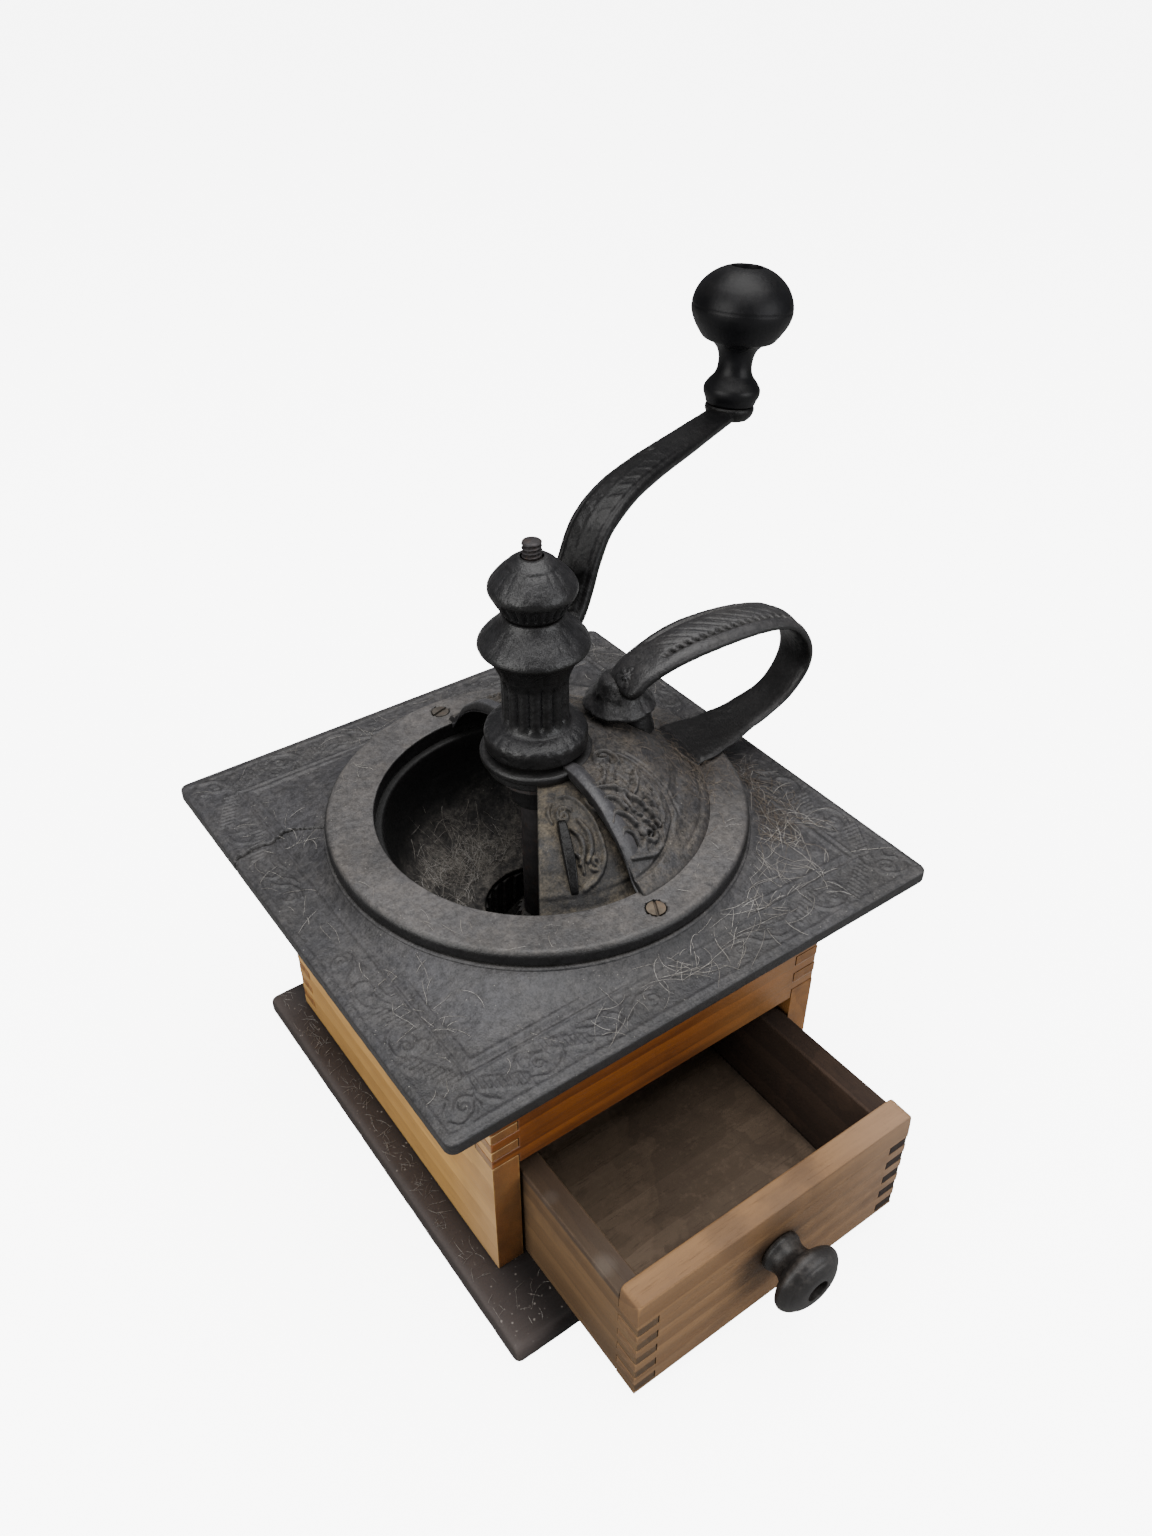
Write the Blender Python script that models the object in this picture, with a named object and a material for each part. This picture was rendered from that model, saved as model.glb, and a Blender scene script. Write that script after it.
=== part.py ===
"""Box coffee mill with a cast-iron hopper top, a swinging hopper cover, a crank and a grounds drawer.

The frame: origin on the shaft's axis at the underside of the base board, +Z up, the drawer
pulls out along -Y. Lengths below are millimetres; every mesh is built in metres.
At rest the drawer is pulled out by DRAWER_OUT, the cover is swung most of the way under the
fixed half of the dome, which is on the +X side, and the crank arm points at ARM_ANGLE.
Angles are degrees about Z, counted from +X.
"""

import math

import bmesh
import bpy
from mathutils import Matrix, Vector

for old in list(bpy.data.objects):
    bpy.data.objects.remove(old, do_unlink=True)

MM = 0.001

# ---------------------------------------------------------------- driving dimensions, mm
BASE_X = 76.4                      # half width of the base board
BASE_FRONT, BASE_BACK = -96.7, 81.6
BASE_T = 7.1
BASE_ROUND = 2.2

BOX_X, BOX_Y = 65.7, 70.1          # half sizes of the case, outside
BOARD_T = 9.5                      # case boards
BOX_LOW, BOX_HIGH = 7.4, 109.4
RAIL_LOW = 57.2                    # underside of the front rail, above the drawer
SIDE_FINGERS = 25                  # box-joint fingers over the height of a back corner
RAIL_FINGERS = 13
JOINT_GAP = 0.2
INNER_X, INNER_Y = BOX_X - BOARD_T, BOX_Y - BOARD_T

DRAWER_OUT = 57.1                  # how far the drawer stands open at rest
DRAWER_FACE = -BOX_Y - DRAWER_OUT
DRAWER_LEN = 122.0

HUB_TOP = 148.0                    # top of the dome's hub
HANDLE_ANGLE = -4.0
ARM_ANGLE = 22.6
STUD_R, STUD_TOP = 3.0, 219.3      # the shaft's thin upper end
STUD_HOLE_R = 3.4
NUT_LOW = 196.5                    # underside of the adjusting nut

CORNERS = ((-1, -1), (1, -1), (-1, 1), (1, 1))   # signs of x and y
LEFT_RIGHT = (("left", -1), ("right", 1))        # sign of x
FRONT_BACK = (("front", -1), ("back", 1))        # sign of y


# ---------------------------------------------------------------- materials
def material(name, colour, roughness, metallic=0.0):
    mat = bpy.data.materials.new(name)
    mat.use_nodes = True
    shader = mat.node_tree.nodes["Principled BSDF"]
    shader.inputs["Base Color"].default_value = (*colour, 1.0)
    shader.inputs["Roughness"].default_value = roughness
    shader.inputs["Metallic"].default_value = metallic
    mat.diffuse_color = (*colour, 1.0)
    return mat


CASE_WOOD = material("case_wood", colour=(0.46, 0.20, 0.055), roughness=0.45)
DRAWER_WOOD = material("drawer_wood", colour=(0.44, 0.27, 0.14), roughness=0.6)
DARK_WOOD = material("dark_wood", colour=(0.09, 0.065, 0.05), roughness=0.8)
BASE_PAINT = material("base_paint", colour=(0.03, 0.024, 0.023), roughness=0.6)
CAST_IRON = material("cast_iron", colour=(0.075, 0.07, 0.066), roughness=0.6, metallic=0.6)
COVER_IRON = material("cover_iron", colour=(0.14, 0.125, 0.105), roughness=0.7, metallic=0.4)
BLACK_WOOD = material("black_wood", colour=(0.018, 0.013, 0.013), roughness=0.28)
STEEL = material("steel", colour=(0.22, 0.21, 0.20), roughness=0.45, metallic=0.9)
BURR_IRON = material("burr_iron", colour=(0.12, 0.115, 0.11), roughness=0.5, metallic=0.8)
BRASS = material("brass", colour=(0.42, 0.30, 0.16), roughness=0.5, metallic=0.8)


# ---------------------------------------------------------------- builders
def finish(shape, name, mat, sharp=32.0):
    """Turn a bmesh (in millimetres) into an object with outward normals."""
    bmesh.ops.remove_doubles(shape, verts=shape.verts, dist=1e-4)
    bmesh.ops.scale(shape, verts=shape.verts, vec=(MM, MM, MM))
    bmesh.ops.recalc_face_normals(shape, faces=shape.faces)
    mesh = bpy.data.meshes.new(name)
    shape.to_mesh(mesh)
    shape.free()
    mesh.shade_smooth()
    mesh.set_sharp_from_angle(angle=math.radians(sharp))
    obj = bpy.data.objects.new(name, mesh)
    bpy.context.scene.collection.objects.link(obj)
    if mat is not None:
        mesh.materials.append(mat)
    return obj


def boolean(obj, helper, prefix, operation):
    """Add a boolean step. The helper shapes obj and is hidden, as it is not a piece itself."""
    helper.hide_render = True
    helper.display_type = "WIRE"
    helper.hide_set(True)
    step = obj.modifiers.new(prefix + helper.name, "BOOLEAN")
    step.operation = operation
    step.solver = "EXACT"
    step.object = helper


def cut(obj, cutter):
    boolean(obj, cutter, "cut_", "DIFFERENCE")


def weld_on(obj, other):
    boolean(obj, other, "join_", "UNION")


def turned(name, profile, mat=None, steps=32, start=0.0, sweep=360.0, centre=(0.0, 0.0)):
    """Spin a closed (radius, height) outline about a vertical axis; a part turn gets end faces."""
    shape = bmesh.new()
    full = abs(sweep - 360.0) < 1e-6
    turn = Matrix.Rotation(math.radians(start), 3, "Z")
    first = [shape.verts.new(turn @ Vector((radius, 0.0, z))) for radius, z in profile]
    edges = [shape.edges.new((first[i], first[(i + 1) % len(first)])) for i in range(len(first))]
    spun = bmesh.ops.spin(
        shape, geom=first + edges, cent=(0, 0, 0), axis=(0, 0, 1),
        angle=math.radians(sweep), steps=steps, use_merge=full,
    )
    if not full:
        ends = [item for item in spun["geom_last"] if isinstance(item, bmesh.types.BMVert)]
        turn = Matrix.Rotation(math.radians(start + sweep), 3, "Z")
        last = []
        for radius, z in profile:
            spot = turn @ Vector((radius, 0.0, z))
            last.append(min(ends, key=lambda vert: (vert.co - spot).length))
        shape.faces.new(first)
        shape.faces.new(last)
    for vert in shape.verts:
        vert.co += Vector((centre[0], centre[1], 0.0))
    return finish(shape, name, mat)


def plug(name, radius, low, high, steps=16, centre=(0.0, 0.0)):
    """A cylinder used as a cutter."""
    profile = [(0.0, low), (radius, low), (radius, high), (0.0, high)]
    return turned(name, profile, steps=steps, centre=centre)


def turned_y(name, profile, mat, steps, at):
    """Like turned, with the axis along -Y through at; profile heights count outwards."""
    obj = turned(name, profile, mat, steps)
    obj.data.transform(Matrix.Rotation(math.radians(90), 4, "X"))
    obj.data.transform(Matrix.Translation(Vector(at) * MM))
    return obj


def prism(name, outline, axis, low, high, mat=None):
    """Extrude a flat outline. axis "X": outline is (y, z); "Y": (x, z)."""
    def place(across, up, along):
        return Vector((along, across, up) if axis == "X" else (across, along, up))

    shape = bmesh.new()
    face = shape.faces.new([shape.verts.new(place(across, up, low)) for across, up in outline])
    grown = bmesh.ops.extrude_face_region(shape, geom=[face])
    moved = [item for item in grown["geom"] if isinstance(item, bmesh.types.BMVert)]
    bmesh.ops.translate(shape, verts=moved, vec=place(0.0, 0.0, high - low))
    return finish(shape, name, mat)


def block(name, low, high, mat=None, round_edges=0.0):
    """A box between two corners; round_edges softens its top and upright edges."""
    low, high = Vector(low), Vector(high)
    shape = bmesh.new()
    for vert in bmesh.ops.create_cube(shape, size=1.0)["verts"]:
        vert.co = Vector(
            ((low[i] + high[i]) / 2 + vert.co[i] * (high[i] - low[i]) for i in range(3)))
    if round_edges:
        top = [
            edge for edge in shape.edges
            if max(edge.verts[0].co.z, edge.verts[1].co.z) > high.z - 1e-3
        ]
        bmesh.ops.bevel(
            shape, geom=top, offset=round_edges, segments=2, profile=0.6, affect="EDGES")
    return finish(shape, name, mat)


def square_bar(name, half, low, high):
    """An upright square bar on the shaft's axis."""
    return block(name, (-half, -half, low), (half, half, high))


def closed_skin(name, rows, mat, sharp):
    """Skin a row of closed rings of points, the last ring joined back to the first."""
    shape = bmesh.new()
    rings = [[shape.verts.new(point) for point in row] for row in rows]
    count = len(rings[0])
    for ring, following in zip(rings, rings[1:] + rings[:1]):
        for i in range(count):
            j = (i + 1) % count
            shape.faces.new((ring[i], following[i], following[j], ring[j]))
    return finish(shape, name, mat, sharp)


def smooth_path(points, count):
    """Catmull-Rom curve through (radius, height) points, resampled evenly."""
    knots = [Vector(point) for point in points]
    knots = [2 * knots[0] - knots[1]] + knots + [2 * knots[-1] - knots[-2]]
    fine = []
    for before, start, end, after in zip(knots, knots[1:], knots[2:], knots[3:]):
        for k in range(24):
            t = k / 24
            fine.append(0.5 * (
                (2 * start) + (end - before) * t
                + (2 * before - 5 * start + 4 * end - after) * t * t
                + (3 * start - before - 3 * end + after) * t ** 3))
    fine.append(knots[-2])
    lengths = [0.0]
    for point, following in zip(fine, fine[1:]):
        lengths.append(lengths[-1] + (following - point).length)
    path = []
    k = 0
    for i in range(count):
        want = lengths[-1] * i / (count - 1)
        while k < len(fine) - 2 and lengths[k + 1] < want:
            k += 1
        t = (want - lengths[k]) / max(lengths[k + 1] - lengths[k], 1e-9)
        path.append(fine[k].lerp(fine[k + 1], min(max(t, 0.0), 1.0)))
    return path


def interpolate(knots, t, eased=False):
    """Value at t from (t, value) knots, in straight or in eased steps."""
    for (start, value), (end, following) in zip(knots, knots[1:]):
        if t <= end:
            part = (t - start) / (end - start)
            if eased:
                part = part * part * (3 - 2 * part)
            return value + (following - value) * part
    return knots[-1][1]


def strap(name, path, angle, width, thick, corner, mat=None):
    """A flat bar with chamfered corners that follows a (radius, height) path in the upright
    plane through the shaft's axis at this angle. width and thick are functions of 0..1;
    corner is the chamfer as a share of the thickness."""
    out_dir = polar(1.0, angle)
    side_dir = polar(1.0, angle + 90.0)
    shape = bmesh.new()
    rings = []
    for i, centre in enumerate(path):
        before = path[max(i - 1, 0)]
        after = path[min(i + 1, len(path) - 1)]
        along = (after - before).normalized()
        normal = Vector((-along.y, along.x))
        t = i / (len(path) - 1)
        wide, high = width(t) / 2, thick(t) / 2
        trim = corner * 2 * high
        section = (
            (wide, -high + trim), (wide, high - trim), (wide - trim, high), (-wide + trim, high),
            (-wide, high - trim), (-wide, -high + trim), (-wide + trim, -high),
            (wide - trim, -high))
        ring = []
        for across, up in section:
            point = centre + normal * up
            ring.append(shape.verts.new(
                out_dir * point.x + Vector((0, 0, point.y)) + side_dir * across))
        rings.append(ring)
    for ring, following in zip(rings, rings[1:]):
        for i in range(len(ring)):
            j = (i + 1) % len(ring)
            shape.faces.new((ring[i], ring[j], following[j], following[i]))
    shape.faces.new(rings[0])
    shape.faces.new(list(reversed(rings[-1])))
    return finish(shape, name, mat, sharp=40.0)


def polar(radius, angle, z=0.0):
    turn = math.radians(angle)
    return Vector((radius * math.cos(turn), radius * math.sin(turn), z))


def mirrored(points):
    """The same edge on the -X side, walked the other way."""
    return [(-x, z) for x, z in reversed(points)]


def pivot(name, at, rotation=(0.0, 0.0, 0.0)):
    """An empty on a joint's axis; the pieces that move on the joint hang from it."""
    empty = bpy.data.objects.new(name, None)
    empty.location = Vector(at) * MM
    empty.rotation_euler = rotation
    empty.empty_display_size = 0.01
    bpy.context.scene.collection.objects.link(empty)
    return empty


def hang(parent, *pieces):
    bpy.context.view_layer.update()
    for piece in pieces:
        piece.parent = parent
        piece.matrix_parent_inverse = parent.matrix_world.inverted()


# ---------------------------------------------------------------- wooden case
BASE_SCREW_Y = 46.0
BASE_PILOT_R = 1.9


def comb(count, low, high):
    """Heights of the boundaries between equal fingers."""
    return [low + (high - low) * i / count for i in range(count + 1)]


BACK_COMB = comb(SIDE_FINGERS, BOX_LOW, BOX_HIGH)
RAIL_COMB = comb(RAIL_FINGERS, RAIL_LOW, BOX_HIGH)


def fingered_edge(heights, plain, proud, keeps_even):
    """Points up a board edge: at proud where the board keeps a finger, else at plain."""
    points = []
    last = len(heights) - 2
    for i in range(last + 1):
        keeps = (i % 2 == 0) == keeps_even
        at = proud if keeps else plain
        trim = JOINT_GAP / 2 if keeps else -JOINT_GAP / 2
        points.append((at, heights[i] + (trim if i > 0 else 0.0)))
        points.append((at, heights[i + 1] - (trim if i < last else 0.0)))
    return points


def side_boards():
    """Left and right boards: a plain stile below the rail, fingers beside it and up the back."""
    outline = [(-BOX_Y, BOX_LOW)]
    outline += fingered_edge(BACK_COMB, INNER_Y - JOINT_GAP, BOX_Y, True)
    outline += reversed(fingered_edge(RAIL_COMB, -INNER_Y + JOINT_GAP, -BOX_Y, True))
    outline.pop()   # the lowest rail finger runs straight down into the stile
    left = prism("box_left_side", outline, "X", -BOX_X, -BOX_X + BOARD_T, CASE_WOOD)
    right = prism("box_right_side", outline, "X", BOX_X - BOARD_T, BOX_X, CASE_WOOD)
    return {-1: left, 1: right}


def cross_board(name, heights, y_low, y_high):
    right = fingered_edge(heights, INNER_X - JOINT_GAP, BOX_X, False)
    prism(name, right + mirrored(right), "Y", y_low, y_high, CASE_WOOD)


def base_screws(base_board, sides):
    """Countersunk wood screws up through the base into the side boards."""
    screw = [(0, 0.5), (3.6, 0.5), (3.6, 1.0), (1.6, 3.2), (1.6, 16.0), (0.9, 19.5), (0, 19.5)]
    hole = [(0, -1), (4.0, -1), (4.0, 1.2), (BASE_PILOT_R, 3.5), (BASE_PILOT_R, 9), (0, 9)]
    for number, (x_sign, y_sign) in enumerate(CORNERS, 1):
        x, y = spot = (x_sign * (BOX_X - BOARD_T / 2), y_sign * BASE_SCREW_Y)
        base_screw = turned(f"base_screw_{number}", screw, STEEL, steps=12, centre=spot)
        cut(base_screw, block(f"base_slot_{number}", (x - 5, y - 0.5, -1), (x + 5, y + 0.5, 1.2)))
        cut(base_board, turned(f"base_screw_hole_{number}", hole, steps=12, centre=spot))
        pilot = plug(f"base_pilot_{number}", BASE_PILOT_R, 5.0, 20.0, steps=12, centre=spot)
        cut(sides[x_sign], pilot)


def wooden_case():
    """The base board and the four case boards; returns the side boards by their sign of x."""
    base_board = block(
        "base_board", (-BASE_X, BASE_FRONT, 0.0), (BASE_X, BASE_BACK, BASE_T), BASE_PAINT,
        BASE_ROUND)
    sides = side_boards()
    cross_board("box_back_panel", BACK_COMB, INNER_Y, BOX_Y)
    cross_board("box_front_rail", RAIL_COMB, -BOX_Y, -INNER_Y)
    base_screws(base_board, sides)
    return sides


# ---------------------------------------------------------------- drawer
DRAWER_X = 55.0                    # half width of the drawer
DRAWER_LOW, DRAWER_FRONT_TOP, DRAWER_SIDE_TOP = 7.6, 55.6, 51.0
DRAWER_FRONT_T, DRAWER_SIDE_T = 8.7, 8.0
RIGHT_SIDE_DROP = 4.4              # the right side's top falls by this towards the back
DRAWER_BACK_T, DRAWER_BACK_INSET, DRAWER_BACK_TOP = 7.6, 0.6, 45.5
DRAWER_BOTTOM_TOP, DRAWER_BOTTOM_GAP = 12.0, 0.3
FINGER = 3.95                      # drawer finger width
FINGER_START = 8.8
FINGER_SPANS = [
    (FINGER_START + FINGER * 2 * k, FINGER_START + FINGER * (2 * k + 1)) for k in range(5)]

DRAWER_END = DRAWER_FACE + DRAWER_LEN          # rear ends of the sides
FRONT_REAR = DRAWER_FACE + DRAWER_FRONT_T      # rear face of the drawer front
DRAWER_INNER_X = DRAWER_X - DRAWER_SIDE_T

DRAWER_KNOB_AT = (0.0, DRAWER_FACE, 33.0)
# (radius, distance out from the drawer's face)
DRAWER_KNOB = [
    (1.9, 0.3), (7.0, 0.3), (7.2, 1.6), (6.2, 3.6), (6.0, 5.8), (7.0, 8.0), (10.2, 9.6),
    (12.0, 11.0), (12.3, 12.6), (11.4, 14.4), (9.0, 16.2), (6.4, 17.2), (3.9, 17.4),
    (3.9, 13.2), (1.9, 13.2)]
DRAWER_KNOB_SCREW = [
    (0, -6.5), (1.2, -6.5), (1.55, -5.0), (1.55, 13.5), (3.3, 13.5), (3.3, 14.4), (2.4, 15.2),
    (0, 15.5)]
KNOB_PILOT = [(0, -7.2), (1.9, -7.2), (1.9, 5), (0, 5)]


def drawer_front_board():
    """It keeps the wood between the sides' five fingers, and all of it above them."""
    right = [(DRAWER_X, DRAWER_LOW)]
    for finger_low, finger_high in FINGER_SPANS:
        low, high = finger_low - JOINT_GAP / 2, finger_high + JOINT_GAP / 2
        right += [(DRAWER_X, low), (DRAWER_INNER_X, low), (DRAWER_INNER_X, high), (DRAWER_X, high)]
    right += [(DRAWER_X, DRAWER_FRONT_TOP)]
    outline = right + mirrored(right)
    return prism("drawer_front", outline, "Y", DRAWER_FACE, FRONT_REAR, DRAWER_WOOD)


def drawer_side(name, x_low, x_high, back_top):
    """A side board with five fingers at its front end; back_top is its height at the back."""
    shoulder = FRONT_REAR + JOINT_GAP
    outline = [
        (shoulder, DRAWER_LOW), (DRAWER_END, DRAWER_LOW), (DRAWER_END, back_top),
        (shoulder, DRAWER_SIDE_TOP)]
    for finger_low, finger_high in reversed(FINGER_SPANS):
        low, high = finger_low + JOINT_GAP / 2, finger_high - JOINT_GAP / 2
        outline += [(shoulder, high), (DRAWER_FACE, high), (DRAWER_FACE, low), (shoulder, low)]
    return prism(name, outline, "X", x_low, x_high, DRAWER_WOOD)


def drawer_knob_pieces(front):
    """The knob and its slotted screw, which needs a pilot hole in the front."""
    knob = turned_y("drawer_knob", DRAWER_KNOB, BLACK_WOOD, 24, DRAWER_KNOB_AT)
    screw = turned_y("drawer_knob_screw", DRAWER_KNOB_SCREW, STEEL, 16, DRAWER_KNOB_AT)
    x, y, z = DRAWER_KNOB_AT
    cut(screw, block("knob_slot", (x - 5, y - 20, z - 0.45), (x + 5, y - 14.5, z + 0.45)))
    cut(front, turned_y("knob_pilot", KNOB_PILOT, None, 16, DRAWER_KNOB_AT))
    return knob, screw


def drawer():
    front = drawer_front_board()
    left = drawer_side(
        "drawer_left_side", -DRAWER_X, -DRAWER_INNER_X - JOINT_GAP, DRAWER_SIDE_TOP)
    right = drawer_side(
        "drawer_right_side", DRAWER_INNER_X + JOINT_GAP, DRAWER_X,
        DRAWER_SIDE_TOP - RIGHT_SIDE_DROP)
    back_rear = DRAWER_END - DRAWER_BACK_INSET
    back_front = back_rear - DRAWER_BACK_T
    back = block(
        "drawer_back", (-DRAWER_INNER_X, back_front, DRAWER_LOW),
        (DRAWER_INNER_X, back_rear, DRAWER_BACK_TOP), DARK_WOOD)
    bottom = block(
        "drawer_bottom", (-DRAWER_INNER_X, FRONT_REAR + DRAWER_BOTTOM_GAP, DRAWER_LOW),
        (DRAWER_INNER_X, back_front - DRAWER_BOTTOM_GAP, DRAWER_BOTTOM_TOP), DARK_WOOD)
    slide = pivot("drawer_slide", (0, DRAWER_FACE, DRAWER_LOW))
    hang(slide, front, left, right, back, bottom, *drawer_knob_pieces(front))


# ---------------------------------------------------------------- top plate
PLATE_STEPS = 40                   # points in each row of the plate
PLATE_X, PLATE_Y = 89.0, 90.0      # half sizes of the top plate
PLATE_LOW, PLATE_TOP = 109.7, 114.4
PANEL, PANEL_Z = 73.5, 115.3       # half size and top of the raised panel
BOSS_R, BOSS_Z = 69.6, 120.1       # round boss the hopper ring sits on
PLATE_HOLE_R, PLATE_SEAT_R, PLATE_SEAT_Z = 55.3, 58.6, 117.0
EAR_INNER_X, EAR_OUTER_X = INNER_X - 5.0, INNER_X - 0.3
EAR_Y, EAR_HALF_Y = 48.0, 6.0      # ear centre and half width
EAR_LOW, EAR_TOP = 97.0, 110.6
PLATE_SCREW_Z = 102.0
# (radius, distance outwards from the ear's inner face)
PLATE_SCREW = [
    (0, -2.0), (2.0, -1.9), (3.2, -0.9), (3.2, -0.3), (1.5, -0.3), (1.5, 9.5), (0.8, 12), (0, 12)]
PLATE_SCREW_HOLE = [(0, -1), (1.8, -1), (1.8, 12.6), (0, 12.6)]


def plate_directions():
    """Cosine and sine at each point of a row; the first point is on a corner."""
    for i in range(PLATE_STEPS):
        turn = 2 * math.pi * i / PLATE_STEPS + math.pi / 4
        yield math.cos(turn), math.sin(turn)


def circle_row(radius, z):
    return [(radius * cos, radius * sin, z) for cos, sin in plate_directions()]


def square_row(half_x, half_y, z, corner=1.0):
    """A rectangle sampled at the circle's angles; corner below 1 pulls its corners in."""
    row = []
    for i, (cos, sin) in enumerate(plate_directions()):
        reach = 1.0 / max(abs(cos), abs(sin))
        if i % (PLATE_STEPS // 4) == 0:
            reach *= corner
        row.append((half_x * cos * reach, half_y * sin * reach, z))
    return row


def boss_slope_row(boss_row, panel_row, out, rise):
    """A row part way out from the boss to the panel, at a share of the boss's rise."""
    z = PANEL_Z + (BOSS_Z - PANEL_Z) * rise
    return [
        (boss[0] + (panel[0] - boss[0]) * out, boss[1] + (panel[1] - boss[1]) * out, z)
        for boss, panel in zip(boss_row, panel_row)]


def top_plate_casting():
    """The plate, with ears that hang inside the case for the screws that hold it down."""
    boss_row = circle_row(BOSS_R, BOSS_Z)
    panel_row = square_row(PANEL, PANEL, PANEL_Z)
    rows = [
        circle_row(PLATE_HOLE_R, PLATE_LOW),
        circle_row(PLATE_HOLE_R, PLATE_SEAT_Z),
        circle_row(PLATE_SEAT_R, PLATE_SEAT_Z),
        circle_row(PLATE_SEAT_R, BOSS_Z),
        boss_row,
        boss_slope_row(boss_row, panel_row, out=0.35, rise=0.50),
        boss_slope_row(boss_row, panel_row, out=0.70, rise=0.14),
        panel_row,
        square_row(PANEL + 0.7, PANEL + 0.7, PLATE_TOP),
        square_row(PLATE_X - 1.2, PLATE_Y - 1.2, PLATE_TOP, 0.992),
        square_row(PLATE_X, PLATE_Y, PLATE_TOP - 1.0, 0.985),
        square_row(PLATE_X, PLATE_Y, PLATE_LOW + 0.6, 0.985),
        square_row(PLATE_X - 0.6, PLATE_Y - 0.6, PLATE_LOW, 0.988),
    ]
    plate = closed_skin("top_plate", rows, CAST_IRON, sharp=25.0)
    for number, (x_sign, y_sign) in enumerate(CORNERS, 1):
        x_low, x_high = sorted((x_sign * EAR_INNER_X, x_sign * EAR_OUTER_X))
        y = y_sign * EAR_Y
        weld_on(plate, block(
            f"plate_ear_{number}", (x_low, y - EAR_HALF_Y, EAR_LOW),
            (x_high, y + EAR_HALF_Y, EAR_TOP)))
    return plate


def plate_screws(plate, sides):
    """Level screws out through the ears into the side boards."""
    for number, (x_sign, y_sign) in enumerate(CORNERS, 1):
        turn = Matrix.Rotation(math.radians(90.0 * x_sign), 4, "Y")
        spot = Vector((x_sign * EAR_INNER_X, y_sign * EAR_Y, PLATE_SCREW_Z))
        frame = Matrix.Translation(spot * MM) @ turn
        screw = turned(f"plate_screw_{number}", PLATE_SCREW, STEEL, steps=12)
        screw.data.transform(frame)
        hole = turned(f"plate_screw_hole_{number}", PLATE_SCREW_HOLE, steps=12)
        hole.data.transform(frame)
        cut(plate, hole)
        cut(sides[x_sign], hole)


# ---------------------------------------------------------------- hopper bowl, burrs, lower bearing
# (radius, height): outside from the rim down, then up the inside
BOWL = [
    (58.2, 117.3), (54.8, 117.3), (53.8, 107.0), (49.6, 96.0), (41.5, 85.8), (30.0, 78.2),
    (24.8, 76.0), (24.8, 62.4), (21.4, 62.4), (21.4, 77.5), (19.0, 77.5), (19.0, 79.4),
    (28.4, 82.2), (38.6, 88.8), (46.4, 98.0), (50.2, 108.4), (50.6, 120.1), (58.2, 120.1)]
BRIDGE_X, BRIDGE_Y = 32, 5.5       # half sizes of the bearing bridge
BRIDGE_LOW, BRIDGE_TOP = 58.0, 61.4
LUG_INNER_X, LUG_Y, LUG_LOW, LUG_TOP = 23.4, 5, 61.8, 71.0
JOURNAL_R = 3.6
BRIDGE_SCREW_X, BRIDGE_HOLE_R = 28.2, 1.9
BRIDGE_SCREW = [
    (0, 56.0), (2.2, 56.1), (3.2, 56.9), (3.2, 57.7), (1.6, 57.7), (1.6, 68.0), (0, 68.0)]
BURR_SQUARE = 3.6                  # half size of the inner burr's square hole


def bowl_and_bridge():
    """The bowl, and the bearing bridge screwed up to the two lugs on its neck."""
    bowl = turned("hopper_bowl", BOWL, CAST_IRON)
    bridge = block(
        "bearing_bridge", (-BRIDGE_X, -BRIDGE_Y, BRIDGE_LOW), (BRIDGE_X, BRIDGE_Y, BRIDGE_TOP),
        CAST_IRON)
    cut(bridge, plug("journal_hole", JOURNAL_R, 50.0, 70.0, steps=20))
    for name, x_sign in LEFT_RIGHT:
        x_low, x_high = sorted((x_sign * LUG_INNER_X, x_sign * BRIDGE_X))
        weld_on(bowl, block(
            f"bridge_lug_{name}", (x_low, -LUG_Y, LUG_LOW), (x_high, LUG_Y, LUG_TOP)))
        spot = (x_sign * BRIDGE_SCREW_X, 0.0)
        cut(bowl, plug(f"bridge_hole_{name}", BRIDGE_HOLE_R, 60.0, 69.0, 12, spot))
        cut(bridge, plug(f"bridge_through_{name}", BRIDGE_HOLE_R, 50.0, 63.0, 12, spot))
        turned(f"bridge_screw_{name}", BRIDGE_SCREW, STEEL, steps=12, centre=spot)


def burr(name, low, high, low_r, high_r, flute, teeth, plain_r):
    """A conical ring with straight flutes on one face and a plain face at plain_r.
    flute is added to the fluted face's radius at every other point."""
    count = teeth * 2

    def row(radius, z, step):
        points = []
        for i in range(count):
            reach = radius + step if i % 2 else radius
            turn = 2 * math.pi * i / count
            points.append((reach * math.cos(turn), reach * math.sin(turn), z))
        return points

    rows = [row(low_r, low, flute), row(high_r, high, flute), row(plain_r, high, 0.0),
            row(plain_r, low, 0.0)]
    return closed_skin(name, rows, BURR_IRON, sharp=20.0)


def burrs():
    """Both burrs; returns the inner one, which turns with the shaft."""
    burr("outer_burr", low=61.8, high=77.2, low_r=16.7, high_r=18.0, flute=1.4, teeth=16,
         plain_r=21.1)
    inner = burr("inner_burr", low=65.7, high=77.7, low_r=15.4, high_r=8.0, flute=-1.5, teeth=12,
                 plain_r=4.0)
    cut(inner, square_bar("burr_square", BURR_SQUARE, 60, 80))
    return inner


# ---------------------------------------------------------------- dome
RING_R, RING_INNER_R = 68.8, 53.0
RING_LOW, RING_TOP = 120.4, 125.6
HUB_R, HUB_LOW = 17.9, 145.2
SLEEVE_R, SLEEVE_BORE, SLEEVE_LOW = 8.6, 5.9, 128.0
RING_SCREW_R = 61.6                # the ring screws' distance from the axis
LIP_X = (-0.4, 5.6)                # the lips' reach in x
HANDLE_HEAD_R, HANDLE_SHANK_R = 3.0, 1.5             # carry handle's screws
HANDLE_HEAD_HOLE_R, HANDLE_SHANK_HOLE_R = 3.3, 1.8
FOOT_SPOT = (38.6, 0.4)            # screws under the carry handle's upper and lower ends
TAIL_SPOT = polar(63.4, HANDLE_ANGLE)

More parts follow.
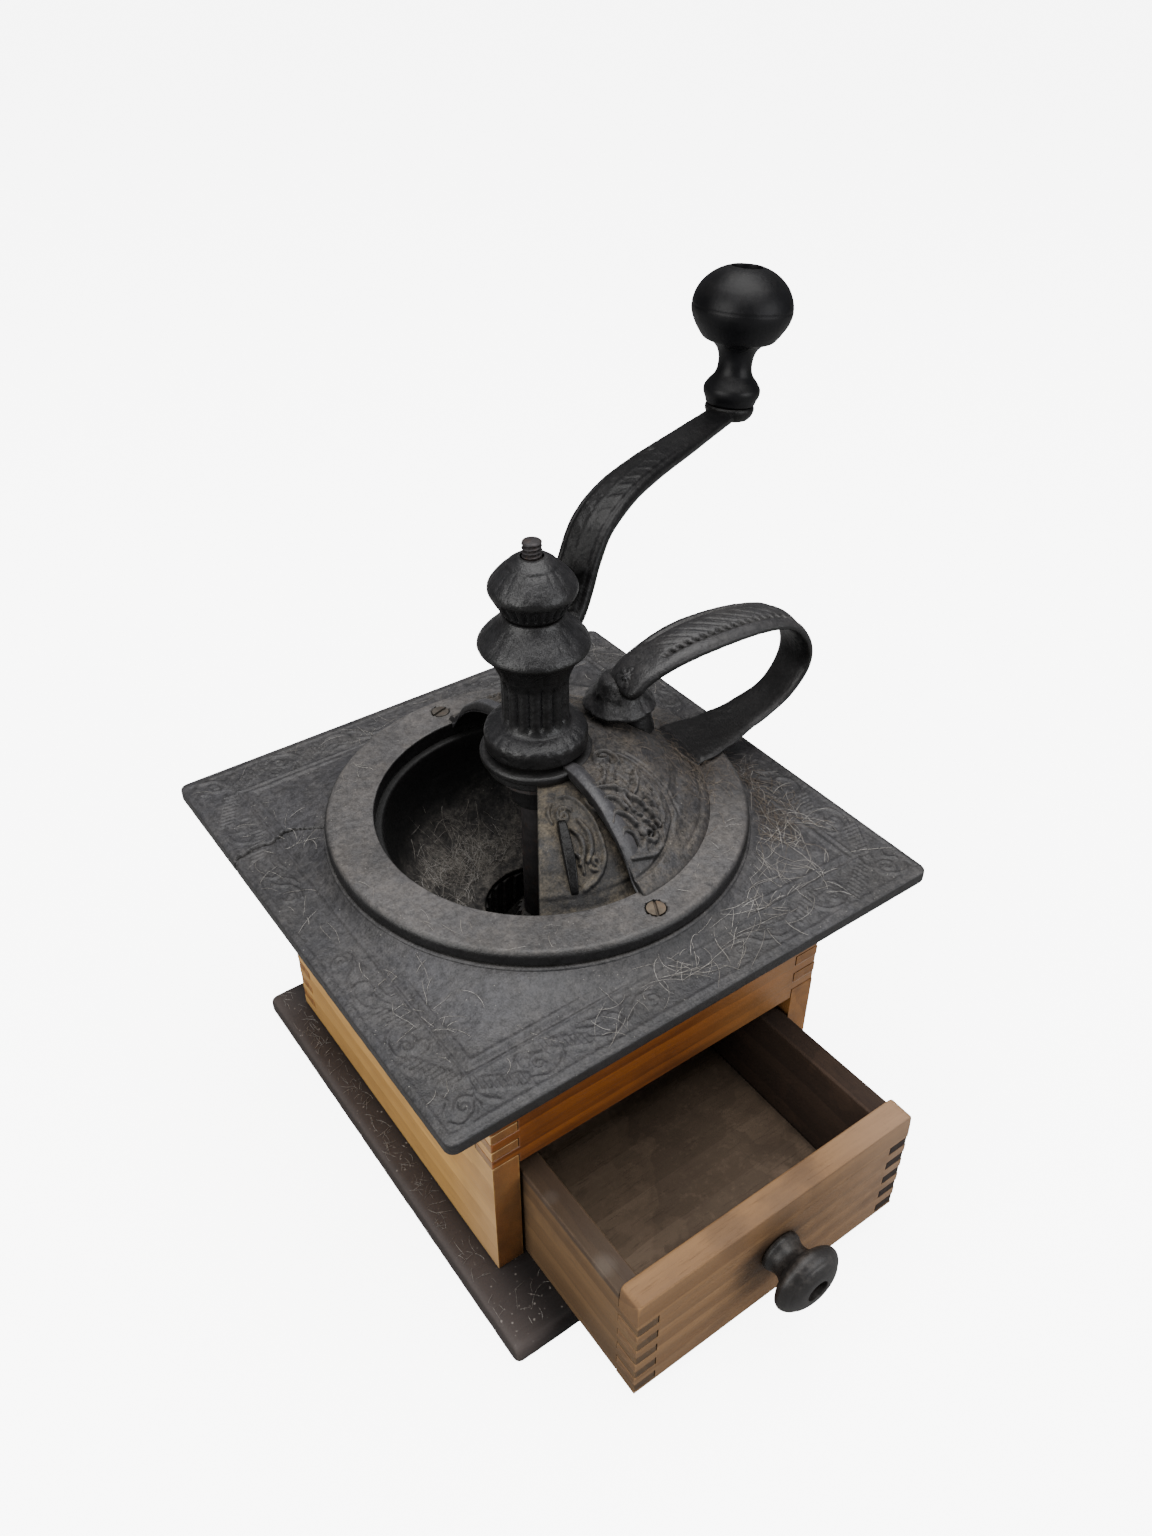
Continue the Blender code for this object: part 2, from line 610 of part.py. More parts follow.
# (radius, height) outlines: outer faces run outwards and down, inner faces back up
RING = [
    (RING_INNER_R, RING_LOW), (RING_R - 0.5, RING_LOW), (RING_R, RING_LOW + 0.6),
    (RING_R, RING_TOP - 0.9), (RING_R - 0.8, RING_TOP), (RING_INNER_R + 0.4, RING_TOP),
    (RING_INNER_R, RING_TOP - 0.4)]
HUB = [
    (SLEEVE_BORE, SLEEVE_LOW), (SLEEVE_R, SLEEVE_LOW), (SLEEVE_R, HUB_LOW),
    (HUB_R - 0.3, HUB_LOW), (HUB_R, HUB_LOW + 0.5), (HUB_R, HUB_TOP - 0.6),
    (HUB_R - 0.6, HUB_TOP), (SLEEVE_BORE, HUB_TOP)]
DOME_OUTER = [
    (16.0, 147.6), (20.0, 147.7), (24.8, 147.1), (30.0, 145.6), (35.0, 143.4), (40.0, 139.9),
    (43.5, 136.6), (44.8, 134.7), (46.5, 134.2), (48.5, 132.3), (50.5, 130.2), (52.6, 128.8),
    (55.0, 127.4), (56.2, 124.8), (56.0, 122.6)]
DOME_INNER = [
    (53.4, 122.6), (51.0, 126.0), (48.6, 129.6), (45.2, 133.6), (41.0, 137.2), (36.5, 140.0),
    (31.0, 142.4), (25.0, 144.2), (19.0, 145.5), (16.0, 145.6)]
LIP = [
    (15.0, 148.9), (20.0, 149.0), (24.8, 148.3), (30.0, 146.8), (35.0, 144.6), (41.0, 140.2),
    (45.0, 136.6), (48.3, 131.6), (50.4, 127.8), (52.4, 125.9), (54.5, 124.8), (54.5, 122.9),
    (53.2, 122.9), (50.8, 126.3), (48.4, 129.9), (45.0, 133.9), (40.8, 137.5), (36.3, 140.3),
    (30.8, 142.7), (24.8, 144.5), (18.8, 145.8), (15.0, 145.9)]
FOOT_BOSS = [(0, 130.0), (7.8, 130.0), (7.6, 146.2), (6.9, 147.2), (0, 147.2)]
RING_HOLE = [(0, 118), (2.2, 118), (2.2, 122.9), (4.4, 125.2), (4.4, 130), (0, 130)]
RING_SCREW = [
    (0, 112.0), (1.0, 112.0), (1.7, 113.5), (1.7, 122.9), (4.0, 125.2), (4.0, 125.7), (0, 125.7)]


def handle_screw_hole(name, low, seat, high, spot):
    """Cutter for a handle screw: wide for the head up to seat, then narrow for the shank."""
    head_r, shank_r = HANDLE_HEAD_HOLE_R, HANDLE_SHANK_HOLE_R
    profile = [(0, low), (head_r, low), (head_r, seat), (shank_r, seat), (shank_r, high), (0, high)]
    return turned(name, profile, steps=12, centre=spot)


def foot_boss():
    """The boss under the carry handle's foot."""
    boss = turned("foot_boss", FOOT_BOSS, steps=20, centre=FOOT_SPOT)
    # the boss ends inside the dome's wall, so that the cover still passes below it
    wall = [(radius, z + 0.45) for radius, z in DOME_INNER]
    cut(boss, turned("under_boss", [(0, 120.0), (53.4, 120.0)] + wall + [(0, 146.4)], steps=24))
    return boss


def hopper_dome():
    """Ring, fixed half, hub with its bearing sleeve, and a lip on each open edge."""
    dome = turned("hopper_dome", RING, CAST_IRON, steps=48)
    weld_on(dome, turned("dome_half", DOME_OUTER + DOME_INNER, steps=18, start=-90.0, sweep=180.0))
    weld_on(dome, turned("dome_hub", HUB))
    for name, y_sign in FRONT_BACK:
        outline = [(y_sign * radius, z) for radius, z in LIP]
        weld_on(dome, prism(f"{name}_lip", outline, "X", *LIP_X))
    weld_on(dome, foot_boss())
    cut(dome, handle_screw_hole("foot_screw_hole", 130, 143.1, 150, FOOT_SPOT))
    cut(dome, handle_screw_hole("tail_screw_hole", 118, 122.6, 130, TAIL_SPOT))
    return dome


def ring_screws(dome, plate):
    """Countersunk slotted screws that hold the dome's ring to the plate."""
    for name, y_sign in FRONT_BACK:
        y = y_sign * RING_SCREW_R
        spot = (0.0, y)
        cut(dome, turned(f"ring_hole_{name}", RING_HOLE, steps=16, centre=spot))
        cut(plate, plug(f"ring_pilot_{name}", 2.0, 111.2, 125.0, steps=12, centre=spot))
        screw = turned(f"ring_screw_{name}", RING_SCREW, BRASS, steps=16, centre=spot)
        cut(screw, block(f"ring_slot_{name}", (-6, y - 0.5, 124.8), (6, y + 0.5, 127)))


# ---------------------------------------------------------------- swinging cover
COVER_FROM, COVER_TO = -124.0, 66.0   # the cover's sector at rest, degrees
RIB_ANGLE, RIB_HALF_T = -110.8, 1.7
COVER_PIVOT_Z = 143.0
# (radius, height): outer face outwards and down, then the inner face back up
COVER = [
    (9.1, 144.6), (17.0, 144.5), (22.0, 143.6), (28.0, 142.0), (33.0, 139.7), (38.0, 136.6),
    (42.0, 133.2), (45.5, 129.0), (48.0, 125.2), (50.0, 122.6), (52.0, 121.9), (52.0, 120.5),
    (47.6, 120.5), (45.8, 124.4), (43.3, 128.0), (40.0, 131.6), (36.2, 134.6), (31.6, 137.4),
    (27.0, 139.6), (21.4, 141.2), (16.6, 142.0), (9.1, 142.0)]
COVER_HUB = [(9.0, 141.4), (15.6, 141.4), (16.2, 142.2), (16.2, 144.8), (9.0, 144.8)]
FINGER_RIB = [
    (30.0, 139.0), (31.0, 142.2), (33.0, 142.4), (38.0, 139.4), (42.0, 136.2), (45.5, 132.0),
    (47.4, 128.6), (47.0, 124.5), (42.0, 130.0)]
COVER_COLLAR = [(8.9, 137.6), (12.6, 137.6), (12.6, 140.4), (12.0, 141.0), (8.9, 141.0)]


def sliding_cover():
    cover = turned(
        "sliding_cover", COVER, COVER_IRON, steps=22, start=COVER_FROM,
        sweep=COVER_TO - COVER_FROM)
    weld_on(cover, turned("cover_hub", COVER_HUB))
    rib = prism("finger_rib", FINGER_RIB, "Y", -RIB_HALF_T, RIB_HALF_T)
    rib.data.transform(Matrix.Rotation(math.radians(RIB_ANGLE), 4, "Z"))
    weld_on(cover, rib)
    turned("cover_collar", COVER_COLLAR, STEEL, steps=24)
    hang(pivot("cover_axis", (0, 0, COVER_PIVOT_Z)), cover)


# ---------------------------------------------------------------- carry handle
# (radius, height) along the middle of the strap, from the foot out, round and back in
HANDLE_PATH = [
    (31.0, 156.6), (37.7, 162.8), (51.9, 167.4), (66.7, 168.8), (83.1, 168.0), (96.0, 164.2),
    (103.8, 154.8), (104.6, 144.7), (97.4, 134.6), (84.5, 129.2), (71.0, 127.9), (59.0, 127.9)]
# (share of the path, width)
HANDLE_WIDTHS = ((0.0, 15.4), (0.25, 20.0), (0.5, 17.8), (0.75, 14.2), (1.0, 16.6))
HANDLE_FOOT = [
    (0, 147.5), (5.0, 147.5), (8.0, 147.9), (10.8, 148.9), (10.9, 149.8), (9.6, 151.4),
    (8.2, 153.8), (7.6, 156.4), (6.0, 159.6), (0, 160.6)]
HANDLE_FOOT_CENTRE = (35.0, 1.2)


def handle_screw(name, low, head_top, tip, spot):
    head_r, shank_r = HANDLE_HEAD_R, HANDLE_SHANK_R
    turned(
        name, [(0, low), (head_r, low), (head_r, head_top), (shank_r, head_top), (shank_r, tip),
               (0, tip)], STEEL, steps=12, centre=spot)


def carry_handle():
    handle = strap(
        "carry_handle", smooth_path(HANDLE_PATH, 30), HANDLE_ANGLE,
        width=lambda t: interpolate(HANDLE_WIDTHS, t, eased=True),
        thick=lambda t: 5.6 - 2.0 * min(t / 0.5, 1.0), corner=0.32, mat=CAST_IRON)
    weld_on(handle, turned("handle_foot", HANDLE_FOOT, steps=20, centre=HANDLE_FOOT_CENTRE))
    pilot_r = HANDLE_SHANK_HOLE_R
    cut(handle, plug("handle_foot_pilot", pilot_r, 140.0, 155.0, 12, FOOT_SPOT))
    cut(handle, plug("handle_tail_pilot", pilot_r, 120.0, 128.9, 12, TAIL_SPOT))
    handle_screw("handle_foot_screw", 141.2, 142.8, 154.4, FOOT_SPOT)
    handle_screw("handle_tail_screw", 120.6, 122.3, 128.6, TAIL_SPOT)


# ---------------------------------------------------------------- crank and its knob
KNOB_R, KNOB_BASE_Z, KNOB_TILT = 126.3, 216.8, 7.3
CRANK_PIVOT_Z = 150.0
CRANK_SQUARE = 4.1                 # half size of the square hole for the shaft
# (radius, height) of the column and collar
CRANK = [
    (0, 149.7), (16.0, 149.7), (16.3, 150.4), (16.3, 154.6), (15.8, 156.0), (13.6, 157.4),
    (11.2, 158.1), (10.5, 159.4), (10.5, 173.5), (11.2, 176.5), (12.2, 180.0), (14.2, 183.0),
    (16.6, 185.0), (17.1, 186.0), (16.8, 187.2), (15.0, 189.4), (12.2, 192.1), (10.1, 194.4),
    (9.2, 196.1), (0, 196.1)]
# (radius, height) along the middle of the arm
ARM_PATH = [
    (10.5, 184.0), (17.4, 187.8), (22.2, 194.8), (25.2, 200.8), (30.5, 207.9), (36.0, 211.4),
    (43.3, 213.8), (52.4, 215.3), (68.3, 215.8), (88.5, 215.3), (103.0, 215.0), (123.4, 214.4),
    (126.5, 214.3)]
ARM_WIDTHS = ((0.0, 13.2), (0.33, 14.6), (0.66, 12.8), (1.0, 9.8))   # (share of path, width)
# (radius, height) along the knob's pin, from the knob's base
ARM_PAD = [(0, -5.2), (6.6, -5.2), (7.8, -4.0), (8.6, -2.4), (8.7, -1.0), (8.2, -0.3), (0, -0.3)]
PIN_BORE = 2.8
CRANK_KNOB = [
    (PIN_BORE, 0.0), (8.6, 0.0), (9.0, 1.6), (9.9, 3.4), (10.0, 5.4), (8.6, 7.6), (6.6, 9.8),
    (5.9, 12.4), (6.0, 15.6), (6.9, 18.4), (8.8, 20.4), (12.2, 21.6), (13.1, 22.6), (14.6, 24.6),
    (16.4, 27.6), (17.3, 30.4), (17.4, 32.6), (16.7, 35.8), (14.9, 39.2), (12.0, 42.0),
    (8.6, 44.0), (5.5, 45.0), (5.3, 44.6), (5.3, 40.6), (PIN_BORE, 40.6)]
KNOB_PIN = [
    (0, -5.8), (1.9, -5.8), (2.5, -5.4), (2.5, 40.9), (4.6, 40.9), (4.6, 42.0), (3.2, 42.8),
    (0, 43.0)]
PAD_SPOT = polar(KNOB_R, ARM_ANGLE, KNOB_BASE_Z)


def on_pin(obj):
    """Move a mesh from the origin onto the knob's tilted pin."""
    obj.data.transform(
        Matrix.Translation(PAD_SPOT * MM)
        @ Matrix.Rotation(math.radians(ARM_ANGLE), 4, "Z")
        @ Matrix.Rotation(math.radians(KNOB_TILT), 4, "Y"))
    return obj


def crank_casting():
    """Column, collar, arm and end pad in one casting."""
    crank = turned("crank", CRANK, CAST_IRON)
    weld_on(crank, strap(
        "crank_arm", smooth_path(ARM_PATH, 24), ARM_ANGLE,
        width=lambda t: interpolate(ARM_WIDTHS, t), thick=lambda t: 6.1 - 1.6 * t, corner=0.3))
    weld_on(crank, on_pin(turned("arm_pad", ARM_PAD, steps=24)))
    cut(crank, on_pin(plug("pin_hole", PIN_BORE, -12, 6)))
    cut(crank, square_bar("drive_square", CRANK_SQUARE, 140.0, 194.4))
    cut(crank, plug("stud_clearance", STUD_HOLE_R, 190.0, 210.0, steps=20))
    return crank


def crank_assembly():
    """Crank, pin and knob; returns the crank's pivot."""
    crank_axis = pivot("crank_axis", (0, 0, CRANK_PIVOT_Z))
    pin_axis = pivot(
        "pin_axis", PAD_SPOT, (0, math.radians(KNOB_TILT), math.radians(ARM_ANGLE)))
    pin = on_pin(turned("knob_pin", KNOB_PIN, STEEL, steps=16))
    hang(crank_axis, crank_casting(), pin, pin_axis)
    hang(pin_axis, on_pin(turned("crank_knob", CRANK_KNOB, BLACK_WOOD, steps=24)))
    return crank_axis


# ---------------------------------------------------------------- shaft line
SHAFT_SQUARE, BURR_DRIVE = 3.8, 3.35   # half sizes of the shaft's squares
SHAFT_PIVOT_Z = 62.0
SHAFT = [
    (0, 57.0), (2.8, 57.0), (3.2, 57.6), (3.2, 65.6), (3.0, 65.7), (3.0, 78.0), (5.5, 78.0),
    (5.5, 148.4), (3.5, 148.4), (3.5, 192.6), (STUD_R, 192.6), (STUD_R, STUD_TOP - 0.5),
    (STUD_R - 0.5, STUD_TOP), (0, STUD_TOP)]
THRUST_WASHER = [(6.4, 148.3), (12.2, 148.3), (12.2, 149.4), (6.4, 149.4)]
BURR_NUT = [(0, 62.8), (6.0, 62.8), (6.4, 63.2), (6.4, 65.0), (6.0, 65.4), (0, 65.4)]
ADJUSTING_NUT = [
    (STUD_HOLE_R, NUT_LOW), (8.8, NUT_LOW), (9.2, 197.0), (10.6, 199.0), (12.2, 201.8),
    (13.2, 203.8), (13.3, 205.2), (12.7, 206.5), (11.2, 208.4), (9.2, 210.6), (7.4, 212.1),
    (6.6, 213.0), (4.4, 214.5), (STUD_HOLE_R, 214.6)]


def main_shaft():
    shaft = turned("main_shaft", SHAFT, STEEL, steps=20)
    weld_on(shaft, square_bar("shaft_square", SHAFT_SQUARE, 148.0, 192.8))
    weld_on(shaft, square_bar("burr_drive", BURR_DRIVE, 65.9, 78.4))
    return shaft


def burr_nut():
    """Six-sided nut below the inner burr."""
    nut = turned("burr_nut", BURR_NUT, STEEL, steps=6)
    cut(nut, plug("burr_nut_bore", 3.45, 60.0, 68.0, steps=20))
    return nut


def shaft_line(crank_axis, inner_burr):
    """Washer, adjusting nut, and the shaft with the pieces that turn on it."""
    turned("thrust_washer", THRUST_WASHER, STEEL, steps=28)
    nut_axis = pivot("nut_axis", (0, 0, NUT_LOW))
    shaft_axis = pivot("shaft_axis", (0, 0, SHAFT_PIVOT_Z))
    hang(crank_axis, nut_axis, shaft_axis)
    hang(nut_axis, turned("adjusting_nut", ADJUSTING_NUT, CAST_IRON, steps=28))
    hang(shaft_axis, main_shaft(), inner_burr, burr_nut())


# ---------------------------------------------------------------- the whole mill
def build_mill():
    sides = wooden_case()
    drawer()
    plate = top_plate_casting()
    plate_screws(plate, sides)
    bowl_and_bridge()
    inner_burr = burrs()
    ring_screws(hopper_dome(), plate)
    sliding_cover()
    carry_handle()
    shaft_line(crank_assembly(), inner_burr)


build_mill()
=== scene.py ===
"""Looks for a box coffee mill: a wooden case with a drawer on a black base board, a cast top
plate, a half dome with a swinging cover, a crank and a carry handle, round its CAD frame.

Sizes here are in millimetres unless noted; materials, lights and camera are in metres.
+Z is up, the main shaft stands on the Z axis, the drawer faces -Y (front) and -X is left.
The fixed half of the dome and the handle are on the right, +X.
"""

import math

import bmesh
import bpy
import numpy as np
from mathutils import Matrix, Vector
from numpy.linalg import norm


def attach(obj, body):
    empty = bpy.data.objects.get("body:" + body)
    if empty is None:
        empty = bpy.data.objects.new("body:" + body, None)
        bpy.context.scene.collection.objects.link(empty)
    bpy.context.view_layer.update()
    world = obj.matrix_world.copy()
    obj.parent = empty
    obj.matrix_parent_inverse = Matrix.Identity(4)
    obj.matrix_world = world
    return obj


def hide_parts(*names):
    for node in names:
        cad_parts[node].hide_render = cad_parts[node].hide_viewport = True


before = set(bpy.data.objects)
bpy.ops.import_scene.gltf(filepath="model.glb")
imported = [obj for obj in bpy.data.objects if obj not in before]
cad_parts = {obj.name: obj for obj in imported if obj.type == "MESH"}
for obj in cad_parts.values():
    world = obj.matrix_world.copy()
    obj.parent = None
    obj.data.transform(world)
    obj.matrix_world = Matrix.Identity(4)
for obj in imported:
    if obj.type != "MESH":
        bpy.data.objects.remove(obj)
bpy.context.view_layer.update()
MM = 0.001
TAU = 2 * math.pi

# ---------------------------------------------------------------- noise and eased numbers
noise_random = np.random.RandomState(11)
NOISE_ORDER = noise_random.permutation(256)
NOISE_SLOPES = noise_random.normal(size=(256, 3))
NOISE_SLOPES /= norm(NOISE_SLOPES, axis=1)[:, None]


def perlin(points):
    cell = np.floor(points).astype(np.int64)
    inside = points - cell
    blend = inside * inside * inside * (inside * (inside * 6 - 15) + 10)
    total = np.zeros(points.shape[:-1])
    for corner in np.ndindex(2, 2, 2):
        weight = np.where(corner, blend, 1 - blend).prod(-1)
        key = 0
        for axis in range(3):
            key = NOISE_ORDER[(key + cell[..., axis] + corner[axis]) & 255]
        total += weight * (NOISE_SLOPES[key] * (inside - corner)).sum(-1)
    return total


def fractal(points, size, octaves, seed):
    """Layered noise; size is the breadth of its largest lumps."""
    points = np.asarray(points, float) / size + seed
    total = np.zeros(points.shape[:-1])
    strength = 1.0
    for _ in range(octaves):
        total += strength * perlin(points)
        points = points * 2.03 + 17.1
        strength *= 0.5
    return total


def flat_fractal(points, size, octaves, seed, z=0.0):
    """Layered noise at plan points, read at one height."""
    return fractal(np.c_[points, np.full(len(points), z)], size, octaves, seed)


def ramp(value, start, end):
    """Eased rise from 0 at start to 1 at end; start may be the larger."""
    share = np.clip((np.asarray(value, float) - start) / (end - start), 0, 1)
    return share * share * (3 - 2 * share)


def hump(value, centre, half):
    """Parabola: 1 at centre, 0 from half away onwards."""
    return np.clip(1 - ((value - centre) / half) ** 2, 0, 1)


# ---------------------------------------------------------------- lines and outlines
def distances(points):
    """How far along a line each of its points lies."""
    return np.r_[0, np.cumsum(norm(np.diff(points, axis=0), axis=1))]


def resample(points, count):
    points = np.asarray(points, float)
    along = distances(points)
    even = np.linspace(0, along[-1], count)
    return np.stack([np.interp(even, along, column) for column in points.T], -1)


def resample_loop(points, count):
    return resample(np.vstack([points, points[:1]]), count + 1)[:-1]


def curve(points, count=50):
    """Smooth curve through points, as count evenly spaced points."""
    points = np.asarray(points, float)
    points = np.vstack([2 * points[0] - points[1], points, 2 * points[-1] - points[-2]])
    t = np.linspace(0, 1, 24, endpoint=False)[:, None]
    spans = []
    for before, start, end, after in zip(points, points[1:], points[2:], points[3:]):
        spans.append(0.5 * (2 * start + (end - before) * t
                            + (2 * before - 5 * start + 4 * end - after) * t ** 2
                            + (3 * start - before - 3 * end + after) * t ** 3))
    return resample(np.vstack(spans + [points[-2:-1]]), count)


def spiral(centre, start_radius, end_radius, start_degrees, turns):
    t = np.linspace(0, 1, 60)
    angle = math.radians(start_degrees) + t * turns * TAU
    radius = start_radius * (end_radius / start_radius) ** t
    return np.stack([centre[0] + radius * np.cos(angle), centre[1] + radius * np.sin(angle)], -1)


def fillet(points, radii, arc=5, step=None):
    """Closed outline with each corner rounded by arc points, and long runs cut up at step."""
    points = np.asarray(points, float)
    count = len(points)
    rounded = []
    for i, (corner, radius) in enumerate(zip(points, np.broadcast_to(radii, count))):
        if radius <= 0:
            rounded.append(corner)
            continue
        back, ahead = points[i - 1] - corner, points[(i + 1) % count] - corner
        radius = min(radius, 0.48 * norm(back), 0.48 * norm(ahead))
        start = corner + back / norm(back) * radius
        end = corner + ahead / norm(ahead) * radius
        for t in np.linspace(0, 1, arc):
            rounded.append((1 - t) ** 2 * start + 2 * t * (1 - t) * corner + t ** 2 * end)
    if step is None:
        return np.array(rounded)
    cut = []
    for start, end in zip(rounded, rounded[1:] + rounded[:1]):
        parts = max(1, math.ceil(norm(end - start) / step))
        cut += [start + (end - start) * j / parts for j in range(parts)]
    return np.array(cut)


def turn_z(degrees):
    c, s = math.cos(math.radians(degrees)), math.sin(math.radians(degrees))
    return np.array([[c, -s, 0], [s, c, 0], [0, 0, 1]])


def polar(angle, radius, z):
    x, y = radius * np.cos(angle), radius * np.sin(angle)
    return np.stack(np.broadcast_arrays(x, y, z), -1)


def turned_grid(profile, count):
    """Angle, radius and height of an (r, z) outline repeated at count angles round Z."""
    profile = np.asarray(profile, float)
    angles = np.linspace(0, TAU, count, endpoint=False)
    angle, radius = np.meshgrid(angles, profile[:, 0], indexing="ij")
    return angle, radius, np.broadcast_to(profile[:, 1], angle.shape).copy()


def cast_wobble(angle, radius, z, size, amount, seed):
    return fractal(polar(angle, radius, z), size, 3, seed) * amount


# ---------------------------------------------------------------- relief drawn with strokes
# A stroke is (line in plan, widths spread along it, height); a negative height is a groove.
def strokes(points, lines):
    """Relief height at plan points: rounded ridges and grooves along the strokes."""
    total = np.zeros(len(points))
    for line, widths, height in lines:
        widths = np.atleast_1d(widths)
        width = np.interp(np.linspace(0, 1, len(line)), np.linspace(0, 1, len(widths)), widths)
        low, high = line.min(0) - width.max(), line.max(0) + width.max()
        near = np.where(((points > low) & (points < high)).all(1))[0]
        away = (norm(points[near][:, None] - line[None], axis=2) / width).min(1)
        round_top = hump(away, 0, 1)
        relief = height * round_top * np.sqrt(round_top)
        total[near] = np.maximum(total[near], relief) if height > 0 else total[near] + relief
    return total


def transformed(lines, matrices):
    return [(line @ matrix.T, widths, height)
            for line, widths, height in lines for matrix in matrices]


def ribbed_bar(start, end, half, pitch, width, height):
    """A bar crossed by short slanting ribs, with a fine line along each side."""
    start, end = np.array(start), np.array(end)
    length = norm(end - start)
    along = (end - start) / length
    across = np.array([-along[1], along[0]])
    lean = across * half - along * half * 0.5
    bar = []
    for distance in np.arange(pitch / 2, length, pitch):
        centre = start + along * distance
        bar.append((resample([centre - lean, centre + lean], 8), width, height))
    for side in (-half, half):
        edge = resample([start + across * side, end + across * side], 40)
        bar.append((edge, 0.42, height * 0.75))
    return bar


# ---------------------------------------------------------------- faces and pieces
def quads(rows, columns, wrap_rows, wrap_columns, offset=0):
    row, column = np.meshgrid(np.arange(rows if wrap_rows else rows - 1),
                              np.arange(columns if wrap_columns else columns - 1), indexing="ij")
    row2, column2 = (row + 1) % rows, (column + 1) % columns
    corners = [row * columns + column, row2 * columns + column,
               row2 * columns + column2, row * columns + column2]
    return np.stack(corners, -1).reshape(-1, 4) + offset


def bar_faces(rows, around):
    """Faces of a bar of closed sections, with an end face on the first and last."""
    ends = [list(range(around)), list(range((rows - 1) * around, rows * around))]
    return [quads(rows, around, False, True), ends]


def fanned_faces(around, rows, flip=False):
    """Faces of a closed skin whose ends fan out from two extra points after the grid."""
    here = np.arange(around)
    after = (here + 1) % around
    if flip:
        here, after = after, here
    apex = np.full(around, around * rows)
    first = np.stack([after * rows, here * rows, apex], -1)
    last = np.stack([here * rows + rows - 1, after * rows + rows - 1, apex + 1], -1)
    return [quads(around, rows, True, False), first, last]


def add_object(name, bm, material, body, stands_for, sharp):
    mesh = bpy.data.meshes.new(name)
    bm.to_mesh(mesh)
    bm.free()
    mesh.shade_smooth()
    mesh.set_sharp_from_angle(angle=math.radians(sharp))
    obj = bpy.data.objects.new(name, mesh)
    bpy.context.scene.collection.objects.link(obj)
    mesh.materials.append(material)
    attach(obj, body)
    if stands_for:
        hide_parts(stands_for)


def piece(name, points, faces, material, body="mill", stands_for=None, weld=0.0, sharp=60,
          slot="cast_iron"):
    """A mesh object. faces is a list of groups, each an array or list of index lists."""
    mesh = bpy.data.meshes.new("raw")
    polygons = [face for group in faces for face in np.asarray(group).tolist()]
    mesh.from_pydata((np.asarray(points, float).reshape(-1, 3) * MM).tolist(), [], polygons)
    bm = bmesh.new()
    bm.from_mesh(mesh)
    bpy.data.meshes.remove(mesh)
    if weld:
        bmesh.ops.remove_doubles(bm, verts=bm.verts, dist=weld * MM)
    bmesh.ops.recalc_face_normals(bm, faces=bm.faces)
    add_object(name, bm, material, body, stands_for, sharp)


def revolve(name, profile, count, material, change=None, turn=np.eye(3), at=(0, 0, 0), sharp=50,
            **settings):
    """Closed (r, z) outline turned about Z. change(angle, r, z) returns displaced (r, z)."""
    angle, radius, z = turned_grid(profile, count)
    if change is not None:
        radius, z = change(angle, radius, z)
    points = polar(angle, radius, z) @ turn.T + at
    piece(name, points, [quads(count, len(profile), True, True)], material, weld=0.004,
          sharp=sharp, **settings)


def rounded_slab(name, low, high, corner, profile, step, material, change=None, **settings):
    """Slab with rounded plan corners between two (x, y) corners.

    profile: (inset, z) from near the middle of the underside round to the top.
    """
    low, high = np.array(low), np.array(high)
    ring = fillet([low, (high[0], low[1]), high, (low[0], high[1])], corner, arc=7, step=step)
    centre, half = (low + high) / 2, (high - low) / 2
    rows = [np.c_[centre + (ring - centre) * ((half - inset) / half), np.full(len(ring), z)]
            for inset, z in profile]
    points = np.stack(rows, 1)
    if change is not None:
        points = change(points)
    points = np.vstack([points.reshape(-1, 3), [*centre, profile[0][1]], [*centre, profile[-1][1]]])
    piece(name, points, fanned_faces(len(ring), len(profile)), material, sharp=40, **settings)


# ---------------------------------------------------------------- shader graphs
class Value:
    """A shader output that makes Math nodes when it is used in arithmetic."""

    def __init__(self, graph, socket):
        self.graph = graph
        self.socket = socket

    def __add__(self, other):
        return self.graph.math("ADD", self, other)

    def __sub__(self, other):
        return self.graph.math("SUBTRACT", self, other)

    def __mul__(self, other):
        return self.graph.math("MULTIPLY", self, other)


def clamp(value):
    """Keep the last sum or product of value within 0 to 1."""
    value.socket.node.use_clamp = True
    return value


def scaled(colour, factor):
    return tuple(channel * factor for channel in colour)


